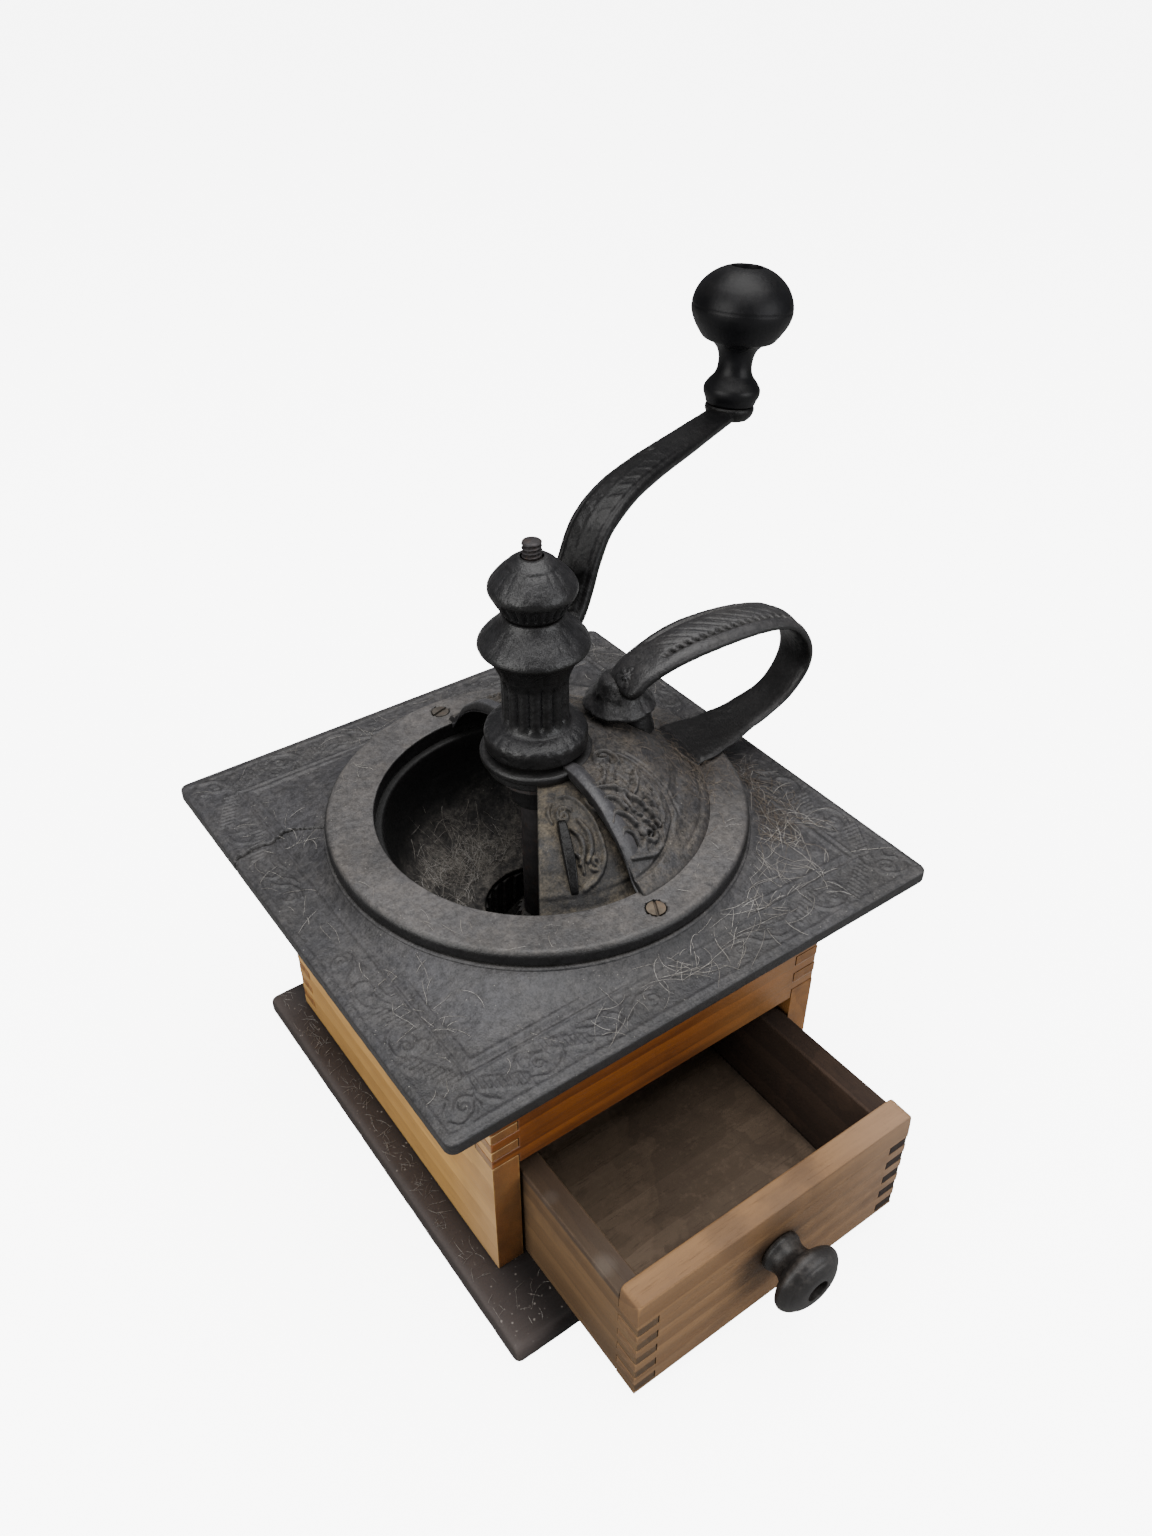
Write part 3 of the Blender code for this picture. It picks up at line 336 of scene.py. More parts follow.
class Graph:
    """Short hand for building a material's node tree."""

    def __init__(self, name):
        self.material = bpy.data.materials.new(name)
        self.material.use_nodes = True
        self.tree = self.material.node_tree
        self.coords = self.node("ShaderNodeTexCoord", output="Object")
        self.normal = self.node("ShaderNodeNewGeometry", output="Normal")

    def put(self, socket, value):
        if isinstance(value, Value):
            self.tree.links.new(value.socket, socket)
        elif socket.type == "RGBA":
            socket.default_value = (*value, 1.0)
        else:
            socket.default_value = value

    def node(self, kind, inputs=(), output=0, **settings):
        """Add a node, set and feed it, and return one of its outputs."""
        node = self.tree.nodes.new(kind)
        for key, value in settings.items():
            setattr(node, key, value)
        for key, value in dict(inputs).items():
            self.put(node.inputs[key], value)
        return Value(self, node.outputs[output])

    def shade(self, inputs):
        """Feed the main shader and return the material."""
        for key, value in inputs.items():
            self.put(self.tree.nodes["Principled BSDF"].inputs[key], value)
        return self.material

    def math(self, operation, first, second=0.0):
        return self.node("ShaderNodeMath", {0: first, 1: second}, operation=operation)

    def vector(self, operation, first, second, output=0):
        return self.node("ShaderNodeVectorMath", {0: first, 1: second}, output,
                         operation=operation)

    def stretch(self, vector, axis, factor):
        """Scale one axis, so a texture is drawn out along it."""
        return self.vector("MULTIPLY", vector, tuple(factor if i == axis else 1.0 for i in range(3)))

    def noise(self, scale, detail=4.0, rough=0.55, vector=None):
        return self.node("ShaderNodeTexNoise", {
            "Vector": vector or self.coords, "Scale": scale, "Detail": detail,
            "Roughness": rough}, "Fac")

    def cells(self, scale):
        return self.node("ShaderNodeTexVoronoi", {"Vector": self.coords, "Scale": scale},
                         "Distance")

    def span(self, value, low, high, to_low=0.0, to_high=1.0):
        """Eased change from to_low to to_high as value goes from low to high."""
        return self.node("ShaderNodeMapRange", {0: value, 1: low, 2: high, 3: to_low, 4: to_high},
                         interpolation_type="SMOOTHSTEP")

    def mix(self, share, first, second):
        return self.node("ShaderNodeMix", {0: share, 6: first, 7: second}, 2,
                         data_type="RGBA", blend_type="MIX")

    def bump(self, height, strength, distance):
        return self.node("ShaderNodeBump", {
            "Strength": strength, "Distance": distance, "Height": height})

    def xyz(self, vector=None):
        split = self.node("ShaderNodeSeparateXYZ", {0: vector or self.coords})
        return [Value(self, socket) for socket in split.socket.node.outputs]

    def up(self, low, high):
        """How much a surface faces the sky, for settled dust."""
        return self.span(self.xyz(self.normal)[2], low, high)

    def crevice(self, distance):
        """1 on open surface, falling in hollows."""
        return self.node("ShaderNodeAmbientOcclusion", {"Distance": distance}, "AO", samples=6)

    def edge(self, radius):
        """1 on edges and rims, 0 on open surface."""
        softened = self.node("ShaderNodeBevel", {"Radius": radius}, samples=4)
        return self.span(self.vector("DOT_PRODUCT", softened, self.normal, "Value"), 0.99, 0.86)


# ---------------------------------------------------------------- kinds of material
def iron(name, base, film, dust, rough, specks, film_tone=(1.0, 0.98, 1.02),
         dust_colour=(0.13, 0.11, 0.088), dust_size=55.0, worn=0.3, sheen=(0.075, 0.075, 0.084),
         mottle=0.5, spec=0.4, hollow_shade=0.6, lift=(0.1, 0.85), shade_below=None, far=None,
         fade=None):
    """Old black cast iron: grainy skin, a grey film on faces that look up, brown dust caught in
    hollows, pale specks and rubbed edges.

    base, film: brightness of the bare iron and of the film; the film on faces that look up is partly
    settled dust and partly painted light from above. worn, sheen: amount and colour of rubbed edges,
    partly real wear and partly a painted edge highlight. mottle: grain in the colour. lift: how
    steeply a face must look up to hold dust. shade_below: height under which it is darkened, a
    painted shade. far: share of the film left at the plate's rim.
    fade: heights between which dust and film die away upwards.
    """
    graph = Graph(name)
    noise, span, mix = graph.noise, graph.span, graph.mix
    grain = noise(scale=1500, detail=3, rough=0.65)
    clumps = noise(scale=420, detail=4, rough=0.62)
    blotch = noise(scale=46, detail=5, rough=0.62)
    colour = mix(span(blotch, 0.32, 0.7),
                 scaled((0.6, 0.58, 0.6), base), scaled((1.6, 1.56, 1.66), base))
    edge = graph.edge(radius=0.0007)
    sky = graph.up(*lift)
    hollow = graph.crevice(distance=0.0035)
    patch = span(noise(scale=24, detail=4, rough=0.55), 0.3, 0.72)
    # film on faces that look up: partly settled dust, partly painted light from above
    film_and_top_light = sky * (patch * 0.5 + 0.5)
    if far is not None:
        x, y, _ = graph.xyz()
        away = graph.math("MAXIMUM", graph.math("ABSOLUTE", x), graph.math("ABSOLUTE", y))
        film_and_top_light = film_and_top_light * span(away, 0.060, 0.080, 1.0, far)
    if fade is not None:
        sky = sky * span(graph.xyz()[2] + (blotch - 0.5) * 0.02, fade[1], fade[0])
        film_and_top_light = film_and_top_light * sky
    colour = mix(film_and_top_light, colour, scaled(film_tone, film))
    # rubbed edges turned lighter: partly real wear, partly a painted edge highlight
    colour = mix(edge * worn, colour, sheen)
    # settled dust, thicker in clouds and hollows
    low = span(hollow, 0.96, 0.55)
    cloud = span(noise(scale=dust_size, detail=6, rough=0.72) * 0.7
                 + noise(scale=dust_size * 7, detail=4, rough=0.7) * 0.4, 0.44, 0.72)
    amount = clamp(sky * clamp(cloud * 0.75 + low * 0.6) * dust)
    dust_tone = mix(noise(scale=900, detail=3, rough=0.7),
                    scaled(dust_colour, 0.72), scaled(dust_colour, 1.4))
    colour = mix(amount, colour, dust_tone)
    # grain in the colour itself
    shade = ((span(grain, 0.3, 0.7) - 0.5) * mottle
             + ((span(clumps, 0.3, 0.7) - 0.5) * mottle + 1.0))
    colour = graph.node("ShaderNodeVectorMath", {0: colour, "Scale": shade}, operation="SCALE")
    # pale specks
    dots = graph.cells(scale=620)
    pick = span(noise(scale=260, detail=2, rough=0.6), 0.54, 0.64)
    spot = clamp(span(dots, 0.17, 0.07) * pick * (sky * specks))
    colour = mix(spot, colour, (0.30, 0.285, 0.26))
    if shade_below is not None:
        # painted shade: darkened below the given height
        painted_shade = span(graph.xyz()[2], shade_below, shade_below - 0.014) * 0.82
        colour = mix(painted_shade, colour, scaled((0.8, 0.72, 0.7), base))
    # painted shade: darker in hollows
    painted_hollow_shade = span(hollow, 0.8, 0.25) * hollow_shade
    colour = mix(painted_hollow_shade, colour, scaled((0.35, 0.3, 0.28), base))
    height = grain * 0.35 + clumps * 0.9 + spot * 0.5
    return graph.shade({
        "Base Color": colour,
        "Specular IOR Level": spec,
        "Roughness": clamp((amount + (blotch + clumps) * 0.22) * 0.4 + (rough - 0.1)),
        "Normal": graph.bump(height, strength=0.8, distance=0.00045)})


def wood(name, axis, dark, light, rings, seed, rough, stain=0.3, stain_colour=(0.05, 0.03, 0.02),
         end=0.5, end_colour=None, corner_shade=0.6, tint=(), wear=0.25, gloss=0.0, fleck=0.5,
         specks=0.0, patches=0.0, spots=()):
    """Wood as a solid: growth rings and fibres along axis (0, 1 or 2), so cut ends show end
    grain.

    tint: (axis, from, to, colour, amount), a broad change of tone across the board.
    spots: (point, radius, colour, amount), dirt round a point.
    stain, end, grime, wear, gloss, fleck, specks and patches are amounts of each effect; grime is
    painted shade, darkening corners and hollows towards near black.
    """
    graph = Graph(name)
    noise, span, mix = graph.noise, graph.span, graph.mix
    base = graph.vector("ADD", graph.coords, (seed * 0.137, seed * 0.071, seed * 0.093))
    along = graph.stretch(base, axis, 0.045)
    waver = noise(scale=9, detail=3, rough=0.5, vector=graph.stretch(base, axis, 0.25))
    # the growth rings' centre lies off the board
    ring_place = graph.vector("ADD", graph.stretch(base, axis, 0.12), (0.021, 0.05, -0.16))
    bands = graph.node("ShaderNodeTexWave", {
        "Vector": ring_place, "Scale": rings, "Distortion": 3.2, "Detail": 3.0,
        "Detail Scale": 1.2}, "Fac", wave_type="RINGS", rings_direction="XYZ"[axis],
        wave_profile="SAW")
    fibre = noise(scale=900, detail=4, rough=0.65, vector=along)
    pore = noise(scale=2600, detail=2, rough=0.6, vector=along)
    streak = noise(scale=160, detail=4, rough=0.6, vector=along)
    tone = bands * 0.36 + streak * 0.64 + (fibre - 0.5) * 0.5
    colour = mix(span(tone, 0.2, 0.95), dark, light)
    colour = mix(span(waver, 0.35, 0.7) * 0.3, colour, scaled(dark, 0.72))
    line = span(pore, 0.58, 0.72) * fleck
    colour = mix(line, colour, scaled(dark, 0.45))
    facing = graph.math("ABSOLUTE", graph.xyz(graph.normal)[axis])
    ends = span(facing, 0.75, 0.97) * end
    end_tone = end_colour or scaled(dark, 0.42)
    for tint_axis, start, finish, tint_colour, amount in tint:
        place = graph.xyz()[tint_axis] + (waver - 0.5) * 0.012
        colour = mix(span(place, start, finish) * amount, colour, tint_colour)
    end_grain = span(noise(scale=130, detail=4, rough=0.6) * 0.6 + pore * 0.4, 0.35, 0.65)
    colour = mix(ends, colour, mix(end_grain, scaled(end_tone, 0.7), scaled(end_tone, 1.3)))
    blotch = span(noise(scale=28, detail=5, rough=0.65)
                  + noise(scale=120, detail=3, rough=0.6) * 0.2, 0.56, 0.82)
    colour = mix(blotch * stain, colour, stain_colour)
    for point, radius, spot_colour, amount in spots:
        distance = graph.vector("DISTANCE", graph.coords, point, "Value")
        ragged = (noise(scale=75, detail=4, rough=0.6) - 0.5) * (radius * 0.9)
        colour = mix(span(distance + ragged, radius, radius * 0.25) * amount, colour, spot_colour)
    if patches:
        # dried oily patches with a firm outline
        inside = span(noise(scale=21, detail=4, rough=0.6)
                      + noise(scale=95, detail=3, rough=0.6) * 0.10, 0.53, 0.56)
        rim = span(noise(scale=33, detail=4, rough=0.62), 0.46, 0.5) * 0.5
        colour = mix(clamp(inside + rim) * patches, colour, scaled(dark, 0.42))
        powder = span(noise(scale=300, detail=5, rough=0.7), 0.5, 0.75)
        colour = mix(powder * (patches * 0.5), colour, scaled(light, 1.1))
    rub = graph.edge(radius=0.0011) * span(noise(scale=170, detail=3, rough=0.6), 0.35, 0.65)
    colour = mix(rub * wear, colour, tuple(min(1.0, c) for c in scaled(light, 1.35)))
    # painted shade: corners and hollows darkened towards near black
    corner = span(graph.crevice(distance=0.006), 0.8, 0.3)
    colour = mix(corner * corner_shade, colour, (0.012, 0.008, 0.006))
    if specks:
        # pale crumbs of dust lying on top
        thick = span(noise(scale=34, detail=4, rough=0.6), 0.4, 0.62)
        crumbs = (span(graph.cells(scale=520), 0.26, 0.12)
                  * span(noise(scale=700, detail=2, rough=0.6), 0.5, 0.6))
        colour = mix(crumbs * graph.up(0.5, 0.95) * (thick * specks), colour,
                     (0.26, 0.235, 0.215))
    shading = {
        "Base Color": colour,
        "Roughness": fibre * 0.22 + (rough - 0.1),
        "Specular IOR Level": 0.35,
        "Normal": graph.bump(fibre * 0.8 - line * 0.7, strength=0.5, distance=0.00028)}
    if gloss:
        shading |= {"Coat Weight": gloss, "Coat Roughness": 0.35}
    return graph.shade(shading)


def lacquer(name, base, rough, dust, spec, brown, fibre_axis):
    """Black turned wood with an old shellac skin; brown is its wear on edges and in hollows."""
    graph = Graph(name)
    noise, span, mix = graph.noise, graph.span, graph.mix
    fine = noise(scale=700, detail=4, rough=0.6,
                 vector=graph.stretch(graph.coords, fibre_axis, 0.06))
    blotch = noise(scale=70, detail=4, rough=0.6)
    colour = mix(span(blotch, 0.35, 0.7), base, scaled(base, 1.9))
    colour = mix(graph.edge(radius=0.0007) * brown, colour, (0.07, 0.055, 0.046))
    amount = (graph.up(0.0, 0.9)
              * span(noise(scale=240, detail=5, rough=0.7), 0.42, 0.72) * dust)
    colour = mix(amount, colour, (0.2, 0.18, 0.165))
    low = span(graph.crevice(distance=0.003), 0.8, 0.35)
    colour = mix(low * brown, colour, (0.035, 0.026, 0.022))
    height = fine + noise(scale=150, detail=3) * 0.6
    return graph.shade({
        "Base Color": colour,
        "Roughness": (blotch + amount) * 0.3 + (rough - 0.1),
        "Specular IOR Level": spec,
        "Normal": graph.bump(height, strength=0.28, distance=0.00025)})


def metal(name, base, rough, rust, metallic=0.85):
    graph = Graph(name)
    noise, span, mix = graph.noise, graph.span, graph.mix
    blotch = noise(scale=220, detail=5, rough=0.65)
    colour = mix(span(blotch, 0.35, 0.7), base, scaled(base, 0.5))
    rusty = span(noise(scale=340, detail=4, rough=0.7), 0.5, 0.72)
    colour = mix(rusty * rust, colour, (0.16, 0.075, 0.035))
    # painted shade: darker in hollows
    low = span(graph.crevice(distance=0.002), 0.8, 0.3)
    colour = mix(low * 0.7, colour, (0.02, 0.014, 0.011))
    height = noise(scale=1200, detail=3, rough=0.6)
    return graph.shade({
        "Base Color": colour,
        "Metallic": metallic,
        "Roughness": blotch * 0.35 + (rough - 0.1),
        "Normal": graph.bump(height, strength=0.3, distance=0.00015)})


def fluff(name, pale, brown):
    graph = Graph(name)
    noise, span, mix = graph.noise, graph.span, graph.mix
    colour = mix(span(noise(scale=90, detail=3, rough=0.6), 0.35, 0.65), pale, brown)
    dark = span(noise(scale=800, detail=2, rough=0.6), 0.4, 0.7)
    colour = mix(dark, colour, scaled(brown, 0.6))
    return graph.shade({"Base Color": colour, "Roughness": 0.7})


# ---------------------------------------------------------------- the mill's materials
IRON_PLATE = iron(
    "iron_plate", far=0.72, base=0.0065, film=0.041, film_tone=(1.0, 0.985, 1.08), dust=0.30,
    dust_colour=(0.105, 0.097, 0.088), rough=0.5, specks=0.55, mottle=0.65)
IRON_RING = iron(
    "iron_ring", base=0.006, film=0.066, film_tone=(1.03, 0.99, 1.0), dust=0.45,
    dust_colour=(0.12, 0.104, 0.09), rough=0.48, specks=0.4, worn=0.55,
    sheen=(0.11, 0.107, 0.112), lift=(0.45, 0.95))
IRON_DOME = iron(
    "iron_dome", base=0.008, film=0.030, film_tone=(1.0, 0.98, 1.04), dust=0.62,
    dust_colour=(0.090, 0.074, 0.056), dust_size=90, rough=0.5, specks=0.5, worn=0.55,
    sheen=(0.085, 0.083, 0.09), mottle=0.8, hollow_shade=0.85)
IRON_HUB = iron(
    "iron_hub", base=0.004, film=0.010, film_tone=(0.98, 0.98, 1.06), dust=0.14,
    dust_colour=(0.06, 0.055, 0.05), rough=0.45, specks=0.1, worn=0.35,
    sheen=(0.05, 0.049, 0.053), mottle=0.4)
IRON_LIP = iron(
    "iron_lip", base=0.012, film=0.050, film_tone=(0.98, 0.98, 1.08), dust=0.2,
    dust_colour=(0.11, 0.10, 0.09), rough=0.42, specks=0.25, worn=0.4, mottle=0.35)
IRON_COVER = iron(
    "iron_cover", base=0.006, film=0.017, film_tone=(1.03, 0.98, 1.0), dust=0.78,
    dust_colour=(0.102, 0.083, 0.056), dust_size=75, rough=0.58, specks=0.6, worn=0.45,
    sheen=(0.09, 0.087, 0.086), mottle=0.85, hollow_shade=0.85)
IRON_CRANK = iron(
    "iron_crank", base=0.0032, film=0.0135, film_tone=(0.97, 0.97, 1.08), dust=0.13,
    dust_colour=(0.065, 0.06, 0.058), rough=0.38, specks=0.14, worn=0.4,
    sheen=(0.04, 0.04, 0.046))
IRON_HANDLE = iron(
    "iron_handle", shade_below=0.146, base=0.0045, film=0.026, film_tone=(1.0, 0.98, 1.05),
    dust=0.26, dust_colour=(0.08, 0.073, 0.067), rough=0.42, specks=0.25, worn=0.55,
    sheen=(0.062, 0.061, 0.067), spec=0.42)
IRON_ARM = iron(
    "iron_arm", base=0.0022, film=0.0036, film_tone=(0.98, 0.97, 1.06), dust=0.10,
    dust_colour=(0.05, 0.046, 0.044), rough=0.40, specks=0.1, sheen=(0.018, 0.018, 0.021),
    mottle=0.45, spec=0.24)
IRON_BOWL = iron(
    "iron_bowl", fade=(0.086, 0.104), base=0.0017, film=0.022, film_tone=(1.0, 0.96, 0.94),
    dust=1.0, dust_colour=(0.15, 0.137, 0.12), rough=0.65, specks=1.0, worn=0.1, mottle=0.9,
    lift=(0.05, 0.6))
IRON_RIB = iron(
    "iron_rib", base=0.003, film=0.0024, dust=0.02, rough=0.38, specks=0.05,
    sheen=(0.018, 0.018, 0.021), mottle=0.25, spec=0.22)
BURR = metal("burr_metal", (0.10, 0.098, 0.095), rough=0.5, rust=0.15)
STEEL = metal("screw_steel", (0.13, 0.12, 0.12), rough=0.45, rust=0.35)
STUD = metal("stud_steel", (0.045, 0.041, 0.043), rough=0.5, rust=0.18, metallic=0.6)
BRASS = metal("screw_brass", (0.125, 0.098, 0.070), rough=0.6, rust=0.3, metallic=0.35)
BRASS_DARK = metal("screw_brass_dark", (0.07, 0.06, 0.05), rough=0.6, rust=0.35, metallic=0.3)
KNOB = lacquer("knob_black", (0.0013, 0.0013, 0.0018), rough=0.40, dust=0.02, spec=0.22,
               brown=0.04, fibre_axis=2)
DRAWER_KNOB = lacquer("drawer_knob_black", (0.0065, 0.0056, 0.0054), rough=0.42, dust=0.20,
                      spec=0.4, brown=0.3, fibre_axis=1)

LEFT_WOOD = wood(
    "case_left_wood", 1, (0.46, 0.235, 0.055), (0.84, 0.49, 0.145), rings=60, seed=1.0,
    rough=0.45, stain=0.32, stain_colour=(0.20, 0.10, 0.03), end=0.88,
    end_colour=(0.150, 0.050, 0.010), gloss=0.12,
    tint=[(2, 0.050, 0.010, (0.28, 0.160, 0.060), 0.5),
          (2, 0.095, 0.112, (0.34, 0.16, 0.035), 0.45),
          (1, -0.035, -0.070, (0.46, 0.30, 0.175), 0.5)])
# The rail turns lighter towards its right end: partly the wood's own tone, partly painted light and
# shade from the plate's overhang.
RAIL_WOOD = wood(
    "case_rail_wood", 0, (0.10, 0.027, 0.0036), (0.31, 0.094, 0.0125), rings=60, seed=2.0,
    rough=0.4, stain_colour=(0.02, 0.009, 0.004), end=0.85, end_colour=(0.34, 0.205, 0.105),
    gloss=0.2, tint=[(0, 0.0, 0.062, (0.36, 0.18, 0.064), 0.7)])
RIGHT_WOOD = wood(
    "case_side_wood", 1, (0.30, 0.125, 0.03), (0.50, 0.225, 0.06), rings=50, seed=3.0,
    rough=0.45, stain=0.4, end_colour=(0.20, 0.085, 0.022), gloss=0.1)
BACK_WOOD = wood(
    "case_back_wood", 0, (0.26, 0.11, 0.03), (0.52, 0.26, 0.08), rings=60, seed=4.0, rough=0.5,
    stain=0.35)
FRONT_WOOD = wood(
    "drawer_front_wood", 0, (0.180, 0.096, 0.040), (0.305, 0.172, 0.076), rings=40, seed=5.0,
    rough=0.6, stain=0.55, stain_colour=(0.105, 0.058, 0.030), wear=0.4, fleck=0.4,
    tint=[(0, 0.01, 0.055, (0.33, 0.215, 0.142), 0.45),
          (2, 0.03, 0.006, (0.13, 0.073, 0.038), 0.4)],
    spots=[((-0.001, -0.127, 0.034), 0.019, (0.035, 0.020, 0.012), 0.85),
           ((-0.020, -0.123, 0.0556), 0.010, (0.07, 0.040, 0.022), 0.45),
           ((0.012, -0.123, 0.0556), 0.008, (0.07, 0.042, 0.024), 0.38),
           ((0.0, -0.127, 0.052), 0.012, (0.10, 0.060, 0.034), 0.45)])
SIDE_WOOD = wood(
    "drawer_side_wood", 1, (0.100, 0.056, 0.024), (0.185, 0.108, 0.047), rings=40, seed=6.0,
    rough=0.6, stain=0.5, stain_colour=(0.045, 0.027, 0.016), wear=0.35,
    tint=[(2, 0.030, 0.008, (0.055, 0.031, 0.015), 0.5),
          (2, 0.0462, 0.0478, (0.036, 0.025, 0.018), 0.8)],
    spots=[((-0.053, -0.109, 0.0505), 0.0055, (0.13, 0.108, 0.088), 0.42),
           ((-0.053, -0.082, 0.0505), 0.0035, (0.10, 0.082, 0.068), 0.32)])
INNER_WOOD = wood(
    "drawer_inner_wood", 1, (0.026, 0.014, 0.0085), (0.058, 0.033, 0.020), rings=40, seed=7.0,
    rough=0.75, stain=0.5, stain_colour=(0.013, 0.009, 0.006), patches=0.4)
FLOOR_WOOD = wood(
    "drawer_floor_wood", 0, (0.150, 0.106, 0.071), (0.225, 0.163, 0.113), rings=32, seed=8.0,
    rough=0.8, stain=0.45, stain_colour=(0.06, 0.040, 0.028), patches=0.55, corner_shade=0.9)
BASE_WOOD = wood(
    "base_black_wood", 0, (0.0040, 0.0027, 0.0027), (0.0100, 0.0070, 0.0070), rings=60, seed=9.0,
    rough=0.62, stain=0.4, stain_colour=(0.034, 0.026, 0.023), wear=0.5, specks=0.9,
    tint=[(0, -0.058, -0.0755, (0.080, 0.064, 0.059), 0.75)])


# ---------------------------------------------------------------- CAD solids with eased edges
def ease_cad(node, material, ease=0.45, segments=2):
    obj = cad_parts[node]
    weld = obj.modifiers.new("weld", "WELD")
    weld.merge_threshold = 0.00002
    bevel = obj.modifiers.new("ease", "BEVEL")
    bevel.width = ease * MM
    bevel.segments = segments
    bevel.limit_method = "ANGLE"
    bevel.angle_limit = math.radians(40)
    bevel.use_clamp_overlap = True
    bevel.harden_normals = False
    obj.data.materials.clear()
    obj.data.materials.append(material)


ease_cad("box_left_side", LEFT_WOOD)
ease_cad("box_right_side", RIGHT_WOOD)
ease_cad("box_back_panel", BACK_WOOD)
ease_cad("box_front_rail", RAIL_WOOD)
ease_cad("drawer_left_side", SIDE_WOOD)
ease_cad("drawer_right_side", INNER_WOOD)
ease_cad("drawer_back", INNER_WOOD)
ease_cad("drawer_bottom", FLOOR_WOOD, ease=0.25)


def drawer_floor_tongue():
    """The edge of the drawer's floor that runs in the grooves of its sides, front and back."""
    x, front, back, low, high = 47.9, -119.2, -12.8, 8.8, 11.4
    plan = [(-x, front), (x, front), (x, back), (-x, back)]
    points = [(*corner, z) for z in (low, high) for corner in plan]
    faces = [(0, 3, 2, 1), (4, 5, 6, 7), (0, 1, 5, 4), (1, 2, 6, 5), (2, 3, 7, 6), (3, 0, 4, 7)]
    piece("drawer_floor_tongue", points, [faces], INNER_WOOD, "drawer", sharp=30, slot=None)


drawer_floor_tongue()
STEEL_PARTS = [f"{place}_screw_{i}" for place in ("base", "plate") for i in range(1, 5)]
STEEL_PARTS += ["bridge_screw_left", "bridge_screw_right", "handle_foot_screw",
                "handle_tail_screw", "drawer_knob_screw", "knob_pin", "thrust_washer",
                "cover_collar", "burr_nut"]
for part in STEEL_PARTS:
    ease_cad(part, STEEL, ease=0.15)
ease_cad("bearing_bridge", IRON_BOWL, ease=0.6, segments=3)

# ---------------------------------------------------------------- base board
BASE_LOW, BASE_HIGH = np.array([-76.4, -96.7]), np.array([76.4, 81.6])
BASE_TOP = 7.1
BASE_PROFILE = [  # inset, z: underside, softly moulded edge, top
    (76.0, 0.0), (40.0, 0.0), (4.0, 0.0), (1.0, 0.0), (0.3, 0.2), (0.0, 0.8), (0.0, 2.0),
    (0.0, 3.4), (0.05, 4.4), (0.3, 5.3), (0.8, 6.1), (1.5, 6.7), (2.3, 7.0),
    *((inset, BASE_TOP) for inset in (3.2, 6.0, 12.0, 24, 40, 60))]


def base_change(points):
    """Unevenness of the top, and small dents in the rim."""
    waves = fractal(points * np.array([1, 1, 0.3]), 22, 3, seed=3.1)
    points[..., 2] += np.where(points[..., 2] > 3, waves * 0.22, 0)
    outward = points[..., :2] - (BASE_LOW + BASE_HIGH) / 2
    near_rim = np.max(np.abs(outward) / ((BASE_HIGH - BASE_LOW) / 2), -1) > 0.9
    dent = np.abs(fractal(points, 9, 3, seed=8.7) * 0.28 * near_rim)
    length = np.maximum(norm(outward, axis=-1, keepdims=True), 1e-6)
    points[..., :2] -= outward / length * dent[..., None]
    return points


rounded_slab("base_board_body", BASE_LOW, BASE_HIGH, 2.6, BASE_PROFILE, 1.2, BASE_WOOD,
             base_change, stands_for="base_board", slot="base_paint")

# ---------------------------------------------------------------- drawer front
DRAWER_FACE_Y = -127.2


def drawer_front():
    """Board with box-joint cut-outs at both ends, rounded top corners and eased edges."""
    end_x, notch_x, back_y = 55.0, 47.0, -118.5
    first_notch, notch_height, slack = 8.8, 3.95, 0.1
    right = [(end_x, 7.6)]
    for k in range(0, 10, 2):
        low = first_notch + notch_height * k - slack
        high = first_notch + notch_height * (k + 1) + slack
        right += [(end_x, low), (notch_x, low), (notch_x, high), (end_x, high)]
    top = fillet([(end_x, 50.0), (end_x, 55.6), (20, 55.6)], [0, 3.4, 0], arc=7)
    right += [tuple(point) for point in top[1:-1]]
    outline = right + [(-x, z) for x, z in reversed(right)]
    bm = bmesh.new()
    face = [bm.verts.new((x * MM, DRAWER_FACE_Y * MM, z * MM)) for x, z in outline]
    rear = [bm.verts.new((x * MM, back_y * MM, z * MM)) for x, z in outline]
    bm.faces.new(face)
    bm.faces.new(list(reversed(rear)))
    for i in range(len(outline)):
        j = (i + 1) % len(outline)
        bm.faces.new((face[j], face[i], rear[i], rear[j]))
    bmesh.ops.recalc_face_normals(bm, faces=bm.faces)
    bm.normal_update()

    def bevel(edges, offset, segments):
        bmesh.ops.bevel(bm, geom=edges, offset=offset * MM, segments=segments, profile=0.5,
                        affect="EDGES", clamp_overlap=True)

    bevel([edge for edge in bm.edges if all(v.co.z > 0.0515 for v in edge.verts)
           and abs(edge.verts[0].co.y - edge.verts[1].co.y) < 1e-6], 2.1, 5)
    bevel([edge for edge in bm.edges if len(edge.link_faces) == 2
           and edge.calc_face_angle(0) > 0.7 and all(v.co.z < 0.0525 for v in edge.verts)], 0.28, 2)
    add_object("drawer_front_body", bm, FRONT_WOOD, "drawer", "drawer_front", 35)


drawer_front()

# ---------------------------------------------------------------- cast top plate
PLATE_HALF = np.array([89.0, 90.0])
BOSS_RADIUS = 69.6  # where the raised round middle starts to fall away
PANEL_HALF = 73.5   # half side of the square where that slope ends
SLOPE_FOOT, SLOPE_RISE = 115.3, 4.0

